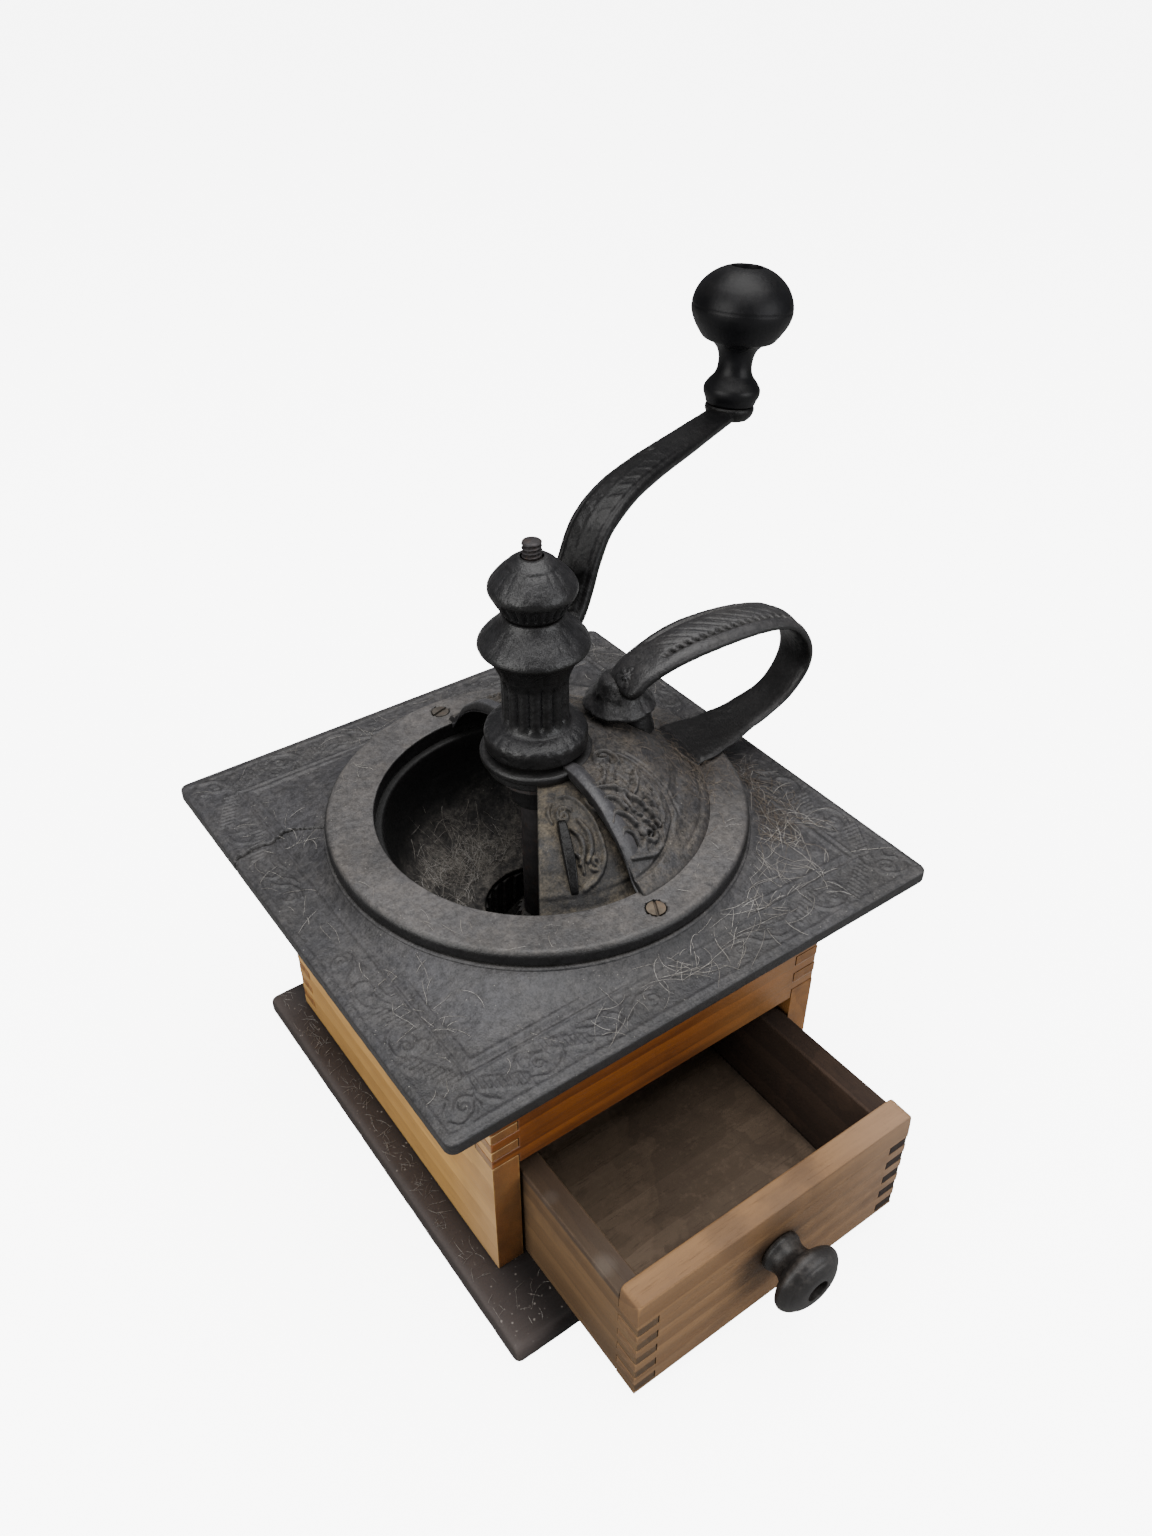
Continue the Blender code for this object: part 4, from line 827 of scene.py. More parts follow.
# Half of one side of the border: (along the side from its middle, outward from the centre).
HALF_SIDE = [
    *ribbed_bar((74.6, 75.9), (59.0, 84.6), 2.0, 1.75, 0.62, 0.5),
    *ribbed_bar((52.6, 76.1), (38.4, 82.6), 1.9, 1.75, 0.6, 0.45),
    (spiral((55.2, 81.4), 3.9, 0.6, 200, 1.35), [0.75, 0.95, 0.8], 0.5),
    (spiral((57.4, 77.4), 3.0, 0.5, 20, -1.2), [0.7, 0.8, 0.7], 0.42),
    (curve([(59.2, 84.0), (56, 85.6), (51.4, 85.2), (48.4, 82.6), (48.0, 79.6), (50.4, 78.4)]),
     [0.5, 0.95, 0.6], 0.48),
    (curve([(38.6, 82.4), (34.6, 84.6), (30.0, 84.4), (27.6, 81.6), (29.0, 78.8), (31.8, 79.0)]),
     [0.5, 1.0, 0.6], 0.48),
    (curve([(40.4, 77.4), (36.4, 79.8), (32.6, 79.6)]), [0.4, 1.2, 0.5], 0.5),
    (curve([(37.0, 76.6), (33.4, 77.8), (29.6, 76.8)]), [0.4, 1.1, 0.4], 0.45),
    (curve([(28.0, 84.2), (24.0, 82.6), (21.6, 79.4), (17.6, 77.8), (14.6, 78.6)]),
     [0.5, 1.0, 0.5], 0.45),
    (curve([(26.4, 79.8), (24.2, 77.8), (21.0, 76.6)]), [0.4, 0.9, 0.4], 0.42),
    (spiral((17.0, 81.2), 3.0, 0.5, 80, 1.2), [0.6, 0.8, 0.6], 0.4),
]
CORNER = [
    (spiral((79.2, 81.4), 4.2, 0.7, 150, 1.3), [0.8, 1.0, 0.9], 0.5),
    (curve([(75.0, 79.6), (77.4, 84.4), (82.4, 86.0), (85.0, 83.6)]), [0.6, 1.2, 0.6], 0.5),
    (curve([(84.6, 80.2), (82.0, 77.6), (83.4, 74.0)]), [0.5, 1.0, 0.5], 0.45),
    (curve([(70.4, 84.8), (73.2, 82.0), (74.4, 78.2)]), [0.5, 1.0, 0.5], 0.42),
]
PLATE_STROKES = transformed(HALF_SIDE, [turn_z(90 * quarter)[:2, :2] @ np.diag([flip, -1])
                                        for quarter in range(4) for flip in (1, -1)])
PLATE_STROKES += transformed(CORNER, [np.diag([i, j]) for i in (1, -1) for j in (1, -1)])

# The crack runs in from the left edge, towards the back of the plate.
CRACK = resample([
    (-90.5, 42.0), (-89.2, 42.4), (-82.6, 44.1), (-78.5, 44.1), (-75.9, 43.5), (-71.8, 44.1),
    (-69.2, 44.2), (-67.2, 43.3), (-63.9, 40.4), (-61.2, 37.1), (-60, 35.1), (-58.5, 33.0)], 260)
CRACK[:, 1] += flat_fractal(CRACK, 1.3, 2, seed=5.0) * 0.35


def plate_relief(x, y):
    """Height added to the plate's top skin."""
    points = np.c_[x.ravel(), y.ravel()]
    height = strokes(points, PLATE_STROKES)
    size = np.abs(points)
    across, along = size.max(1), size.min(1)
    # mouldings round the panel, only towards the corners
    bead = hump(across, 70.6, 1.0) ** 0.5 * 0.55
    groove = -hump(across, 72.6, 0.75) * 0.45
    rim = hump(across, 74.2, 0.7) ** 0.5 * 0.3
    fade = ramp(along, 8, 44) * (np.hypot(size[:, 0], size[:, 1]) > 70.5)
    height += (bead * ramp(along, 20, 46) + groove + rim) * fade
    height += hump(across, 87.2, 0.9) ** 0.5 * 0.28
    height += flat_fractal(points, 16, 3, seed=2.2) * 0.16
    height += flat_fractal(points, 1.6, 2, seed=7.7) * 0.045
    # the crack: an open groove, the rear lip a little proud
    near = np.where((points[:, 0] < -56) & (np.abs(points[:, 1] - 41) < 9))[0]
    place = points[near]
    gaps = norm(place[:, None] - CRACK[None], axis=2)
    gap = gaps.min(1)
    behind = place[:, 1] > CRACK[gaps.argmin(1), 1]
    width = np.where(place[:, 0] < -70, 0.55, 0.42)
    height[near] += -1.5 * hump(gap, 0, width) + behind * 0.22 * np.exp(-(gap / 2.2) ** 2)
    return height.reshape(x.shape)


def top_plate():
    """Plate as rings from the round bore, over the top skin and down round the rim."""
    # even steps round a square of half side 1, from its front right corner
    side, along = np.divmod(np.linspace(0, 4, 1440, endpoint=False), 1)
    side, along = side.astype(int), 2 * along - 1
    one = np.ones_like(along)
    unit_square = np.stack([np.choose(side, [one, -along, -one, along]),
                            np.choose(side, [along, one, -along, -one])], -1)
    angle = np.arctan2(unit_square[:, 1], unit_square[:, 0])
    circle = np.c_[np.cos(angle), np.sin(angle)]

    def square(half, corner=0.0):
        """Ring round a square or rectangle with rounded plan corners."""
        points = unit_square * half
        size = np.abs(points)
        straight = np.asarray(half) - corner
        beyond = size - straight
        length = norm(beyond, axis=1)
        outside = (beyond > 0).all(1) & (length > corner)
        shrink = corner / np.maximum(length, 1e-9)
        size = np.where(outside[:, None], straight + beyond * shrink[:, None], size)
        return np.sign(points) * size

    quarter = math.pi / 2
    bore = [(55.3, 109.7), (55.3, 116.6), (55.6, 117.0), (58.3, 117.0), (58.6, 117.3),
            (58.6, 119.7), (58.9, 120.0)]  # radius, z
    bore += [(radius, 120.1) for radius in np.linspace(59.6, 68.6, 8)]
    bore += [(68.6 + 1.0 * math.sin(a * quarter), 120.1 - 0.8 * (1 - math.cos(a * quarter)))
             for a in np.linspace(0, 1, 6)[1:]]
    inner = [(circle * radius, z) for radius, z in bore]

    boss, panel = circle * BOSS_RADIUS, square(PANEL_HALF)
    skin = [(boss + (panel - boss) * t, SLOPE_FOOT + SLOPE_RISE * (1 - t) ** 1.75)
            for t in np.linspace(0, 1, 44)[1:] ** 1.05]
    border_half, border_z, edge_round = 74.3, 114.4, 0.9
    skin += [(square(half), z) for half, z in
             zip(np.linspace(PANEL_HALF, border_half, 4)[1:], (115.05, 114.65, border_z))]
    flat_half = PLATE_HALF - edge_round
    skin += [(square(border_half + (flat_half - border_half) * t, 2.2 * t), border_z)
             for t in np.linspace(0, 1, 32)[1:]]

    corner, under_round = 3.0, 0.7
    rim = [(square(flat_half + edge_round * math.sin(a), corner), 113.4 + 1.0 * math.cos(a))
           for a in np.linspace(0, quarter, 5)[1:]]
    rim += [(square(PLATE_HALF, corner), z) for z in (112.4, 111.2, 110.4)]
    rim += [(square(PLATE_HALF - under_round * (1 - math.cos(a)), corner),
             110.4 - under_round * math.sin(a)) for a in np.linspace(0, quarter, 4)[1:]]
    rim += [(square([80, 80]), 109.7), (circle * 62, 109.7)]

    rows = inner + skin + rim
    points = np.stack([np.c_[ring, np.full(len(ring), z)] for ring, z in rows], 1)
    top = points[:, len(inner):len(inner) + len(skin)]
    top[..., 2] += plate_relief(top[..., 0], top[..., 1])
    # the crack runs down the rim, and the rim is a little worn back
    wall = points[:, len(inner) + len(skin):]
    x, y, z = wall[..., 0], wall[..., 1], wall[..., 2]
    cracked = (x < -80) & (z > 109.8)
    gap = np.abs(y - 42.2 - 0.25 * np.sin(z * 2.2))
    x += np.where(cracked, 0.9 * hump(gap, 0, 0.5), 0)
    wear = np.abs(fractal(wall, 7, 3, seed=12.0) * 0.12)
    x -= wear * np.sign(x) * (np.abs(x) > 85)
    y -= wear * np.sign(y) * (np.abs(y) > 86)
    piece("top_plate_casting", points, [quads(*points.shape[:2], True, True)], IRON_PLATE,
          stands_for="top_plate", weld=0.002, sharp=48)


top_plate()
EAR_Y, EAR_HALF = 48, 6
EAR_PROFILE = [(1.2, 97.0), (0.4, 97.1), (0, 97.7), (0, 103), (0, 110.2)]  # inset, z
for side_x in (-1, 1):
    for side_y in (-1, 1):
        near_x, far_x = sorted((side_x * 51.2, side_x * 55.9))
        rounded_slab(f"plate_ear_{'l' if side_x < 0 else 'r'}{'f' if side_y < 0 else 'b'}",
                     (near_x, side_y * EAR_Y - EAR_HALF), (far_x, side_y * EAR_Y + EAR_HALF),
                     0.8, EAR_PROFILE, 2.0, IRON_PLATE)

# ---------------------------------------------------------------- ring the dome stands on
RING_SCREW_Y = 61.6
RING_TOP = 125.6
RING_PROFILE = fillet(
    [(53.0, 120.4), (68.3, 120.4), (68.8, 120.9), (68.8, 124.2), (67.6, RING_TOP),
     (53.3, RING_TOP), (53.0, 125.2)],
    [0.2, 0.3, 0.4, 0.7, 0.8, 0.3, 0.2], step=0.55)


def ring_change(angle, radius, z):
    """Cast unevenness, and a recess for each screw head."""
    outer = ramp(radius, 60, 62)
    wobble = cast_wobble(angle, radius, z, 11, 0.10, 4.0)
    top = ramp(z, 124.6, 125.5)
    z = z + top * wobble * 0.8
    radius = radius + outer * (1 - top) * wobble
    x, y = radius * np.cos(angle), radius * np.sin(angle)
    for screw_y in (-RING_SCREW_Y, RING_SCREW_Y):
        z = z - top * 1.5 * ramp(np.hypot(x, y - screw_y), 3.35, 3.0)
    return radius, z


revolve("dome_ring", RING_PROFILE, 620, IRON_RING, ring_change, stands_for="hopper_dome")


def slotted_screw(name, screw_y, material, stands_for, slot_degrees):
    """Countersunk screw with a real slot across its head."""
    count, radius, top, bottom = 96, 2.95, 125.62, 112.0
    profile = [(r, top - 0.12 * (r / radius) ** 2) for r in np.linspace(0.03, 1, 26) * radius]
    profile += [(radius, top - 0.5), (1.6, top - 2.2), (1.6, bottom + 1), (0.6, bottom),
                (0.03, bottom)]
    angle, r, z = turned_grid(profile, count)
    turn = math.radians(slot_degrees)
    across = -r * np.cos(angle) * math.sin(turn) + r * np.sin(angle) * math.cos(turn)
    z = z - ramp(np.abs(across), 0.46, 0.34) * (z > top - 0.3) * 0.75
    points = polar(angle, r, z) + [0, screw_y, 0]
    points = np.vstack([points.reshape(-1, 3), [0, screw_y, z[:, 0].mean()],
                        [0, screw_y, bottom]])
    piece(name, points, fanned_faces(count, len(profile), flip=True), material,
          stands_for=stands_for, sharp=35, slot="brass")


slotted_screw("ring_screw_front_brass", -RING_SCREW_Y, BRASS, "ring_screw_front", 62.0)
slotted_screw("ring_screw_back_brass", RING_SCREW_Y, BRASS_DARK, "ring_screw_back", 15.0)

# ---------------------------------------------------------------- fixed half of the dome
# Outlines here are (r, z) from the hub down to the rim.
DOME_OUTER = [
    (16.0, 147.6), (20.0, 147.7), (24.8, 147.1), (30.0, 145.6), (35.0, 143.4), (40.0, 139.9),
    (43.2, 136.8), (44.4, 135.2), (45.2, 134.6), (46.8, 134.0), (48.5, 132.3), (50.5, 130.2),
    (52.6, 128.8), (54.6, 127.5), (55.9, 126.0), (56.2, 124.8), (56.0, 122.6)]
DOME_INNER = [
    (53.4, 122.6), (51.0, 126.0), (48.6, 129.6), (45.2, 133.6), (41.0, 137.2), (36.5, 140.0),
    (31.0, 142.4), (25.0, 144.2), (19.0, 145.5), (16.0, 145.6)]
# The leaf beside the front lip; the back one mirrors it.
DOME_LEAF = [
    (spiral((12.6, -17.8), 4.9, 0.9, -60, 1.45), [0.9, 1.25, 1.1], 0.95),
    (curve([(9.6, -22.6), (7.0, -25.4), (3.4, -26.0), (1.8, -23.0)]), [1.0, 1.3, 0.6], 0.85),
    (curve([(17.4, -20.6), (18.2, -25.6), (16.2, -30.2), (12.4, -33.2)]), [0.9, 1.2, 0.7], 0.75),
    (curve([(2.8, -27.2), (7.5, -28.6), (11.0, -32.6), (14.6, -37.6), (15.8, -41.8)]),
     [0.9, 1.3, 0.9], 0.95),
    (spiral((10.9, -43.2), 3.4, 0.7, 80, -1.4), [0.9, 1.1, 1.0], 0.95),
    (curve([(1.2, -33.0), (3.8, -31.2), (6.8, -32.6), (7.6, -36.0)]), [0.9, 1.3, 0.7], 0.9),
    (curve([(1.0, -38.2), (3.6, -36.0), (6.6, -37.4), (8.0, -40.4)]), [0.9, 1.3, 0.7], 0.9),
    (curve([(1.0, -43.4), (3.2, -40.8), (5.8, -42.0), (6.4, -45.0)]), [0.9, 1.2, 0.7], 0.85),
    (curve([(10.6, -30.8), (9.2, -33.8), (9.8, -37.2), (12.2, -39.4)]), [0.6, 1.1, 0.6], 0.65),
    (curve([(19.6, -27.4), (21.2, -32.6), (20.4, -38.0), (17.2, -42.6)]), [0.7, 1.1, 0.7], 0.6),
    (curve([(15.8, -33.0), (17.8, -36.4), (17.2, -40.2)]), [0.6, 1.0, 0.5], 0.55),
    (curve([(2.0, -47.4), (5.8, -47.8), (10.0, -48.0), (14.4, -46.4)]), [0.7, 1.0, 0.7], 0.6),
]
DOME_GROOVES = [
    (curve([(18.2, -17.8), (20.2, -20.7), (22.9, -26.9), (25.4, -32.7), (24.2, -39.2),
            (17.0, -46.0), (8.0, -50.4), (0.6, -51.9)], 90), 0.85, -0.75),
    (curve([(20.4, -16.4), (22.6, -20.0), (25.4, -26.4), (27.8, -33.0), (26.6, -39.8)], 60),
     0.7, -0.35),
]


def dome_relief(x, y):
    points = np.c_[x.ravel(), y.ravel()]
    folded = np.c_[points[:, 0], -np.abs(points[:, 1])]
    height = 1.7 * strokes(folded, DOME_LEAF) + 1.25 * strokes(folded, DOME_GROOVES)
    # swelling leaf under the strokes, with curled lobes
    leaf_reach = np.hypot((folded[:, 0] - 10.5) / 12.0, (folded[:, 1] + 33.0) / 17.0)
    inside = ramp(leaf_reach, 1.0, 0.72) * ramp(folded[:, 0], 6.6, 8.4)
    lobes = np.abs(flat_fractal(folded, 3.4, 2, seed=21.0, z=3.0))
    creases = np.clip(0.07 - lobes, 0, 0.07) / 0.07
    height += inside * (0.35 + 1.25 * lobes - 0.9 * creases * 0.5)
    # mouldings and a fluted band on the plain part between the leaves
    radius = np.hypot(points[:, 0], points[:, 1])
    angle = np.arctan2(points[:, 1], points[:, 0])
    off_axis = np.abs(np.degrees(angle))
    plain = ramp(off_axis, 58, 48)
    height += -0.5 * hump(radius, 53.4, 0.8) * ramp(off_axis, 72, 60)
    height += 0.35 * hump(radius, 42.0, 0.7) * plain
    height += -0.3 * hump(radius, 24.2, 0.6) * plain
    flute = np.maximum(0.5 + 0.5 * np.cos(angle * 34), 0) ** 0.7
    height += 0.38 * flute * ramp(radius, 46.6, 47.6) * ramp(radius, 52.6, 51.6) * plain
    height += flat_fractal(points, 9, 2, seed=1.4) * 0.14
    height += flat_fractal(points, 1.3, 2, seed=2.4) * 0.05
    return height.reshape(x.shape)


def shell(name, outer, inner, start, sweep, relief, material, ends, **settings):
    """Curved cast wall from start over sweep degrees: the outer skin carries relief along its
    normal, the inner skin is plain, and both end faces are eased by ends."""
    count, outer_step, inner_step = 430, 0.42, 2.2
    outer_line = resample(curve(outer, 500), int(distances(outer)[-1] / outer_step))
    inner_line = resample(inner, int(distances(inner)[-1] / inner_step))
    rows = len(outer_line)
    along = np.gradient(outer_line, axis=0)
    normal = np.c_[-along[:, 1], along[:, 0]]
    normal /= norm(normal, axis=1)[:, None]
    angles = math.radians(start) + np.linspace(0, 1, count) * math.radians(sweep)
    angle = angles[:, None]
    radius, z = outer_line.T
    height = relief(radius * np.cos(angle), radius * np.sin(angle))
    from_rim = np.minimum(np.arange(rows), rows - 1 - np.arange(rows))
    height = height * np.clip(from_rim / 3.0, 0, 1)
    from_end = np.minimum(angles - angles[0], angles[-1] - angles)[:, None] * radius
    rounding = 1 - (1 - np.clip(from_end / ends, 0, 1)) ** 2
    height = height - ends * (1 - np.sqrt(np.clip(rounding, 0, 1)))
    skin = polar(angle, radius + normal[:, 0] * height, z + normal[:, 1] * height)
    back = polar(angle, inner_line[:, 0], inner_line[:, 1])
    points = np.concatenate([skin, back], 1)
    piece(name, points, bar_faces(count, points.shape[1]), material, weld=0.002, **settings)


shell("dome_half_shell", DOME_OUTER, DOME_INNER, -90, 180, dome_relief, IRON_DOME, ends=0.5)

LIP_OUTER = [
    (15.0, 148.9), (20.0, 149.0), (24.8, 148.3), (30.0, 146.8), (35.0, 144.6), (41.0, 140.2),
    (45.0, 136.6), (48.3, 131.6), (50.4, 127.8), (52.4, 125.9), (54.5, 124.8), (54.6, 123.4)]
LIP_INNER = [
    (15.0, 145.9), (18.8, 145.8), (24.8, 144.5), (30.8, 142.7), (36.3, 140.3), (40.8, 137.5),
    (45.0, 133.9), (48.4, 129.9), (50.8, 126.3), (52.4, 124.2), (53.2, 123.2), (53.6, 122.9)]


def dome_lip(name, side_y):
    """Raised strip along the dome's open edge, towards side_y."""
    count = 150
    outer = resample(curve(LIP_OUTER, 400), count)
    inner = resample(curve(LIP_INNER, 400), count)
    rings = []
    for k in range(count):
        wide = 5.6 + 2.6 * ramp(k / (count - 1), 0.8, 1.0)
        x, depth = fillet([(-0.4, 0.0), (wide, 0.0), (wide, 1.0), (-0.4, 1.0)],
                          [0.3, 0.3, 0.9, 0.9], step=0.8).T
        across = x / wide
        crown = hump(across, 0.30, 0.62) * 0.12 * (depth > 0.8)
        lift = depth * (1 - 0.42 * ramp(across, 0.40, 1.0)) + crown
        place = inner[k] + (outer[k] - inner[k]) * lift[:, None]
        rings.append(np.c_[x, side_y * place[:, 0], place[:, 1]])
    around = min(len(ring) for ring in rings)
    points = np.stack([resample_loop(ring, around) for ring in rings])
    points[..., 2] += fractal(points, 6, 3, seed=3.3) * 0.08
    piece(name, points, bar_faces(count, around), IRON_LIP)


dome_lip("dome_lip_front", -1)
dome_lip("dome_lip_back", 1)


def hub_change(angle, radius, z):
    wobble = cast_wobble(angle, radius, z, 5, 0.06, 9.0)
    return radius + wobble * (radius > 12), z + wobble * (z > 147.5)


HUB_PROFILE = fillet(
    [(5.9, 128.0), (8.6, 128.0), (8.6, 145.2), (17.6, 145.2), (17.9, 145.7), (17.9, 147.4),
     (17.3, 148.0), (5.9, 148.0)],
    [0.3, 0.5, 0.8, 0.3, 0.3, 0.4, 0.4, 0.3], arc=4, step=0.6)
revolve("dome_hub", HUB_PROFILE, 200, IRON_HUB, hub_change)


def boss_change(angle, radius, z):
    return radius + cast_wobble(angle, radius, z, 3, 0.15, 2.0) * (radius > 3), z


BOSS_X, BOSS_Y = 38.6, 0.4
BOSS_PROFILE = fillet(
    [(0.0, 138.5), (7.6, 138.5), (6.6, 143.0), (5.9, 146.2), (5.2, 147.2), (0.0, 147.2)],
    [0, 0.5, 1.5, 0.6, 0.5, 0], step=0.8)
# the boss wears the near-black arm iron so the gap under the handle's foot reads dark: painted shade
revolve("handle_boss", BOSS_PROFILE, 90, IRON_ARM, boss_change, at=(BOSS_X, BOSS_Y, 0.0))


# ---------------------------------------------------------------- bowl and burrs below the ring
def bowl_change(angle, radius, z):
    wobble = (cast_wobble(angle, radius, z, 6, 0.18, 6.0)
              + cast_wobble(angle, radius, z, 1.5, 0.06, 6.5))
    wobble = wobble * ((z > 80) & (z < 116))
    return radius + wobble, z + wobble * 0.5


BOWL_PROFILE = fillet(
    [(58.2, 117.3), (54.8, 117.3), (53.8, 107.0), (49.6, 96.0), (41.5, 85.8), (30.0, 78.2),
     (24.8, 76.0), (24.8, 62.4), (21.4, 62.4), (21.4, 77.5), (19.0, 77.5), (19.0, 79.4),
     (28.4, 82.2), (38.6, 88.8), (46.4, 98.0), (50.2, 108.4), (50.6, 120.1), (58.2, 120.1)],
    [0.2, 1.5, 4, 5, 5, 3, 1, 0.3, 0.3, 0.2, 0.3, 0.6, 3, 5, 5, 5, 1.0, 0.2], step=1.1)
revolve("hopper_bowl_casting", BOWL_PROFILE, 260, IRON_BOWL, bowl_change,
        stands_for="hopper_bowl")
LUG_PROFILE = [(1.5, 61.8), (0.3, 61.9), (0, 62.4), (0, 68), (0, 78.0)]  # inset, z
for side_x, side_name in ((-1, "left"), (1, "right")):
    near_x, far_x = sorted((side_x * 23.9, side_x * 32))
    rounded_slab(f"bridge_lug_{side_name}_body", (near_x, -5), (far_x, 5), 1.0, LUG_PROFILE, 1.6,
                 IRON_BOWL)


def burr(name, profile, count, teeth, twist, depth, toothed, **settings):
    """Turned burr with saw teeth cut where toothed(radius) holds; twist slants them."""
    def cut_teeth(angle, radius, z):
        saw = (angle / TAU * teeth + (z - 62) * twist) % 1.0
        return radius + np.where(toothed(radius), (1 - saw) * depth, 0.0), z

    revolve(name, profile, count, BURR, cut_teeth, sharp=30, slot="burr_iron", **settings)


burr("outer_burr_ring",
     fillet([(21.1, 61.8), (21.1, 77.2), (18.0, 77.2), (16.7, 61.8)], 0.25, arc=3, step=0.8),
     384, teeth=24, twist=0.02, depth=1.3, toothed=lambda radius: radius < 19,
     stands_for="outer_burr")
burr("inner_burr_cone",
     fillet([(4.0, 65.7), (15.2, 65.7), (7.9, 77.7), (4.0, 77.7)], 0.25, arc=3, step=0.7),
     360, teeth=18, twist=0.05, depth=-1.4, toothed=lambda radius: radius > 5.5,
     body="shaft", stands_for="inner_burr")

# ---------------------------------------------------------------- swinging cover
COVER_OUTER = [
    (9.1, 144.6), (17.0, 144.5), (22.0, 143.6), (28.0, 142.0), (33.0, 139.7), (38.0, 136.6),
    (42.0, 133.2), (45.5, 129.0), (48.0, 125.2), (50.0, 122.6), (52.0, 121.7), (52.2, 120.9)]
COVER_INNER = [
    (51.6, 120.5), (47.6, 120.5), (45.8, 124.4), (43.3, 128.0), (40.0, 131.6), (36.2, 134.6),
    (31.6, 137.4), (27.0, 139.6), (21.4, 141.2), (16.6, 142.0), (9.1, 142.0)]
COVER_LEAF = [
    (curve([(-7.6, -21.4), (-4.4, -22.4), (-2.6, -25.4), (-1.8, -31.1), (-2.5, -37.1),
            (-4.4, -42.0), (-8.9, -44.4), (-13.6, -44.4)], 80), [0.8, 1.0, 0.8], 0.75),
    (spiral((-9.1, -27.4), 3.0, 0.6, 10, 1.4), [0.8, 1.0, 0.9], 0.75),
    (curve([(-6.0, -30.6), (-5.2, -34.4), (-6.6, -38.2), (-9.6, -40.6)]), [0.8, 1.3, 0.7], 0.8),
    (curve([(-9.4, -32.0), (-8.2, -35.2), (-9.4, -38.2), (-12.2, -40.2)]), [0.7, 1.2, 0.6], 0.8),
    (curve([(-12.8, -36.6), (-11.2, -38.9), (-12.0, -42.0)]), [0.6, 1.1, 0.6], 0.65),
    (spiral((-7.6, -41.6), 1.9, 0.5, 200, 1.1), [0.6, 0.8, 0.6], 0.6),
    (curve([(-10.2, -22.2), (-12.6, -24.2), (-13.4, -27.6)]), [0.6, 0.9, 0.5], 0.6),
]
LEAF_COUNT, LEAF_PITCH = 7, 27.0  # pitch in degrees
COVER_STROKES = transformed(COVER_LEAF,
                            [turn_z(k * LEAF_PITCH)[:2, :2] for k in range(LEAF_COUNT)])


def cover_relief(x, y):
    points = np.c_[x.ravel(), y.ravel()]
    height = 1.55 * strokes(points, COVER_STROKES)
    height += 0.9 * np.abs(flat_fractal(points, 2.8, 2, seed=23.0, z=5.0)) * (height > 0.02)
    radius = np.hypot(points[:, 0], points[:, 1])
    height += 0.3 * hump(radius, 47.0, 0.7)
    height = np.minimum(height, 1.25) * ramp(radius, 17.5, 19.5) * ramp(radius, 49.5, 47.5)
    height += flat_fractal(points, 6, 2, seed=4.4) * 0.12
    height += flat_fractal(points, 1.1, 2, seed=6.4) * 0.05
    return height.reshape(x.shape)


shell("sliding_cover_shell", COVER_OUTER, COVER_INNER, -124.0, 190.0, cover_relief, IRON_COVER,
      ends=0.7, body="cover", stands_for="sliding_cover", slot="cover_iron")
revolve("cover_hub",
        fillet([(9.0, 141.4), (15.6, 141.4), (16.2, 142.2), (16.2, 144.8), (9.0, 144.8)], 0.25,
               arc=3, step=0.8), 120, IRON_COVER, body="cover", slot="cover_iron")

RIB_TOP = [  # r, z
    (30.2, 141.0), (31.4, 142.5), (33.4, 142.3), (38.0, 139.4), (42.0, 136.2), (45.3, 132.0),
    (47.2, 128.4), (47.4, 125.6)]
RIB_FOOT = [
    (29.8, 139.4), (31.4, 139.0), (33.6, 138.2), (38.0, 135.4), (41.6, 132.4), (44.4, 128.8),
    (46.0, 126.2), (46.8, 124.8)]
RIB_DEGREES = -110.8


def finger_rib():
    """Raised rib running down the cover, near its front edge."""
    count, around = 70, 32
    top, foot = curve(RIB_TOP, count), curve(RIB_FOOT, count)
    rings = []
    for k in range(count):
        half = 1.75 * (0.72 + 0.28 * math.sin(math.pi * min(1, k / (count - 1) * 1.1)))
        section = fillet([(-half, 0.0), (half, 0.0), (half, 1.0), (-half, 1.0)],
                         [0.05, 0.05, 1.1, 1.1], arc=6)
        section = resample_loop(section, around)
        place = foot[k] + (top[k] - foot[k]) * section[:, 1:2]
        rings.append(np.c_[place[:, 0], section[:, 0], place[:, 1]])
    points = np.stack(rings) @ turn_z(RIB_DEGREES).T
    points += fractal(points, 2.5, 2, seed=5.0)[..., None] * np.array([0.05, 0.05, 0.1])
    piece("cover_finger_rib", points, bar_faces(count, around), IRON_RIB, "cover",
          slot="cover_iron")


finger_rib()

# ---------------------------------------------------------------- crank column
COLUMN_PROFILE = fillet(
    [(4.3, 149.7), (15.6, 149.7), (16.3, 150.4), (16.3, 154.6), (15.8, 156.0), (13.6, 157.4),
     (11.2, 158.1), (10.5, 159.4), (10.4, 162.0), (10.4, 172.0), (10.5, 173.5), (11.2, 176.5),
     (12.2, 180.0), (14.2, 183.0), (16.6, 185.0), (17.1, 186.0), (16.8, 187.2), (15.0, 189.4),
     (12.2, 192.1), (10.1, 194.4), (9.2, 196.1), (4.3, 196.1)],
    [0.3, 0.4, 0.5, 0.9, 0.9, 1.2, 0.8, 0.8, 0, 0, 1.0, 2.0, 2.0, 1.5, 0.7, 0.5, 0.7, 1.6, 1.6,
     1.2, 0.5, 0.2], step=0.45)


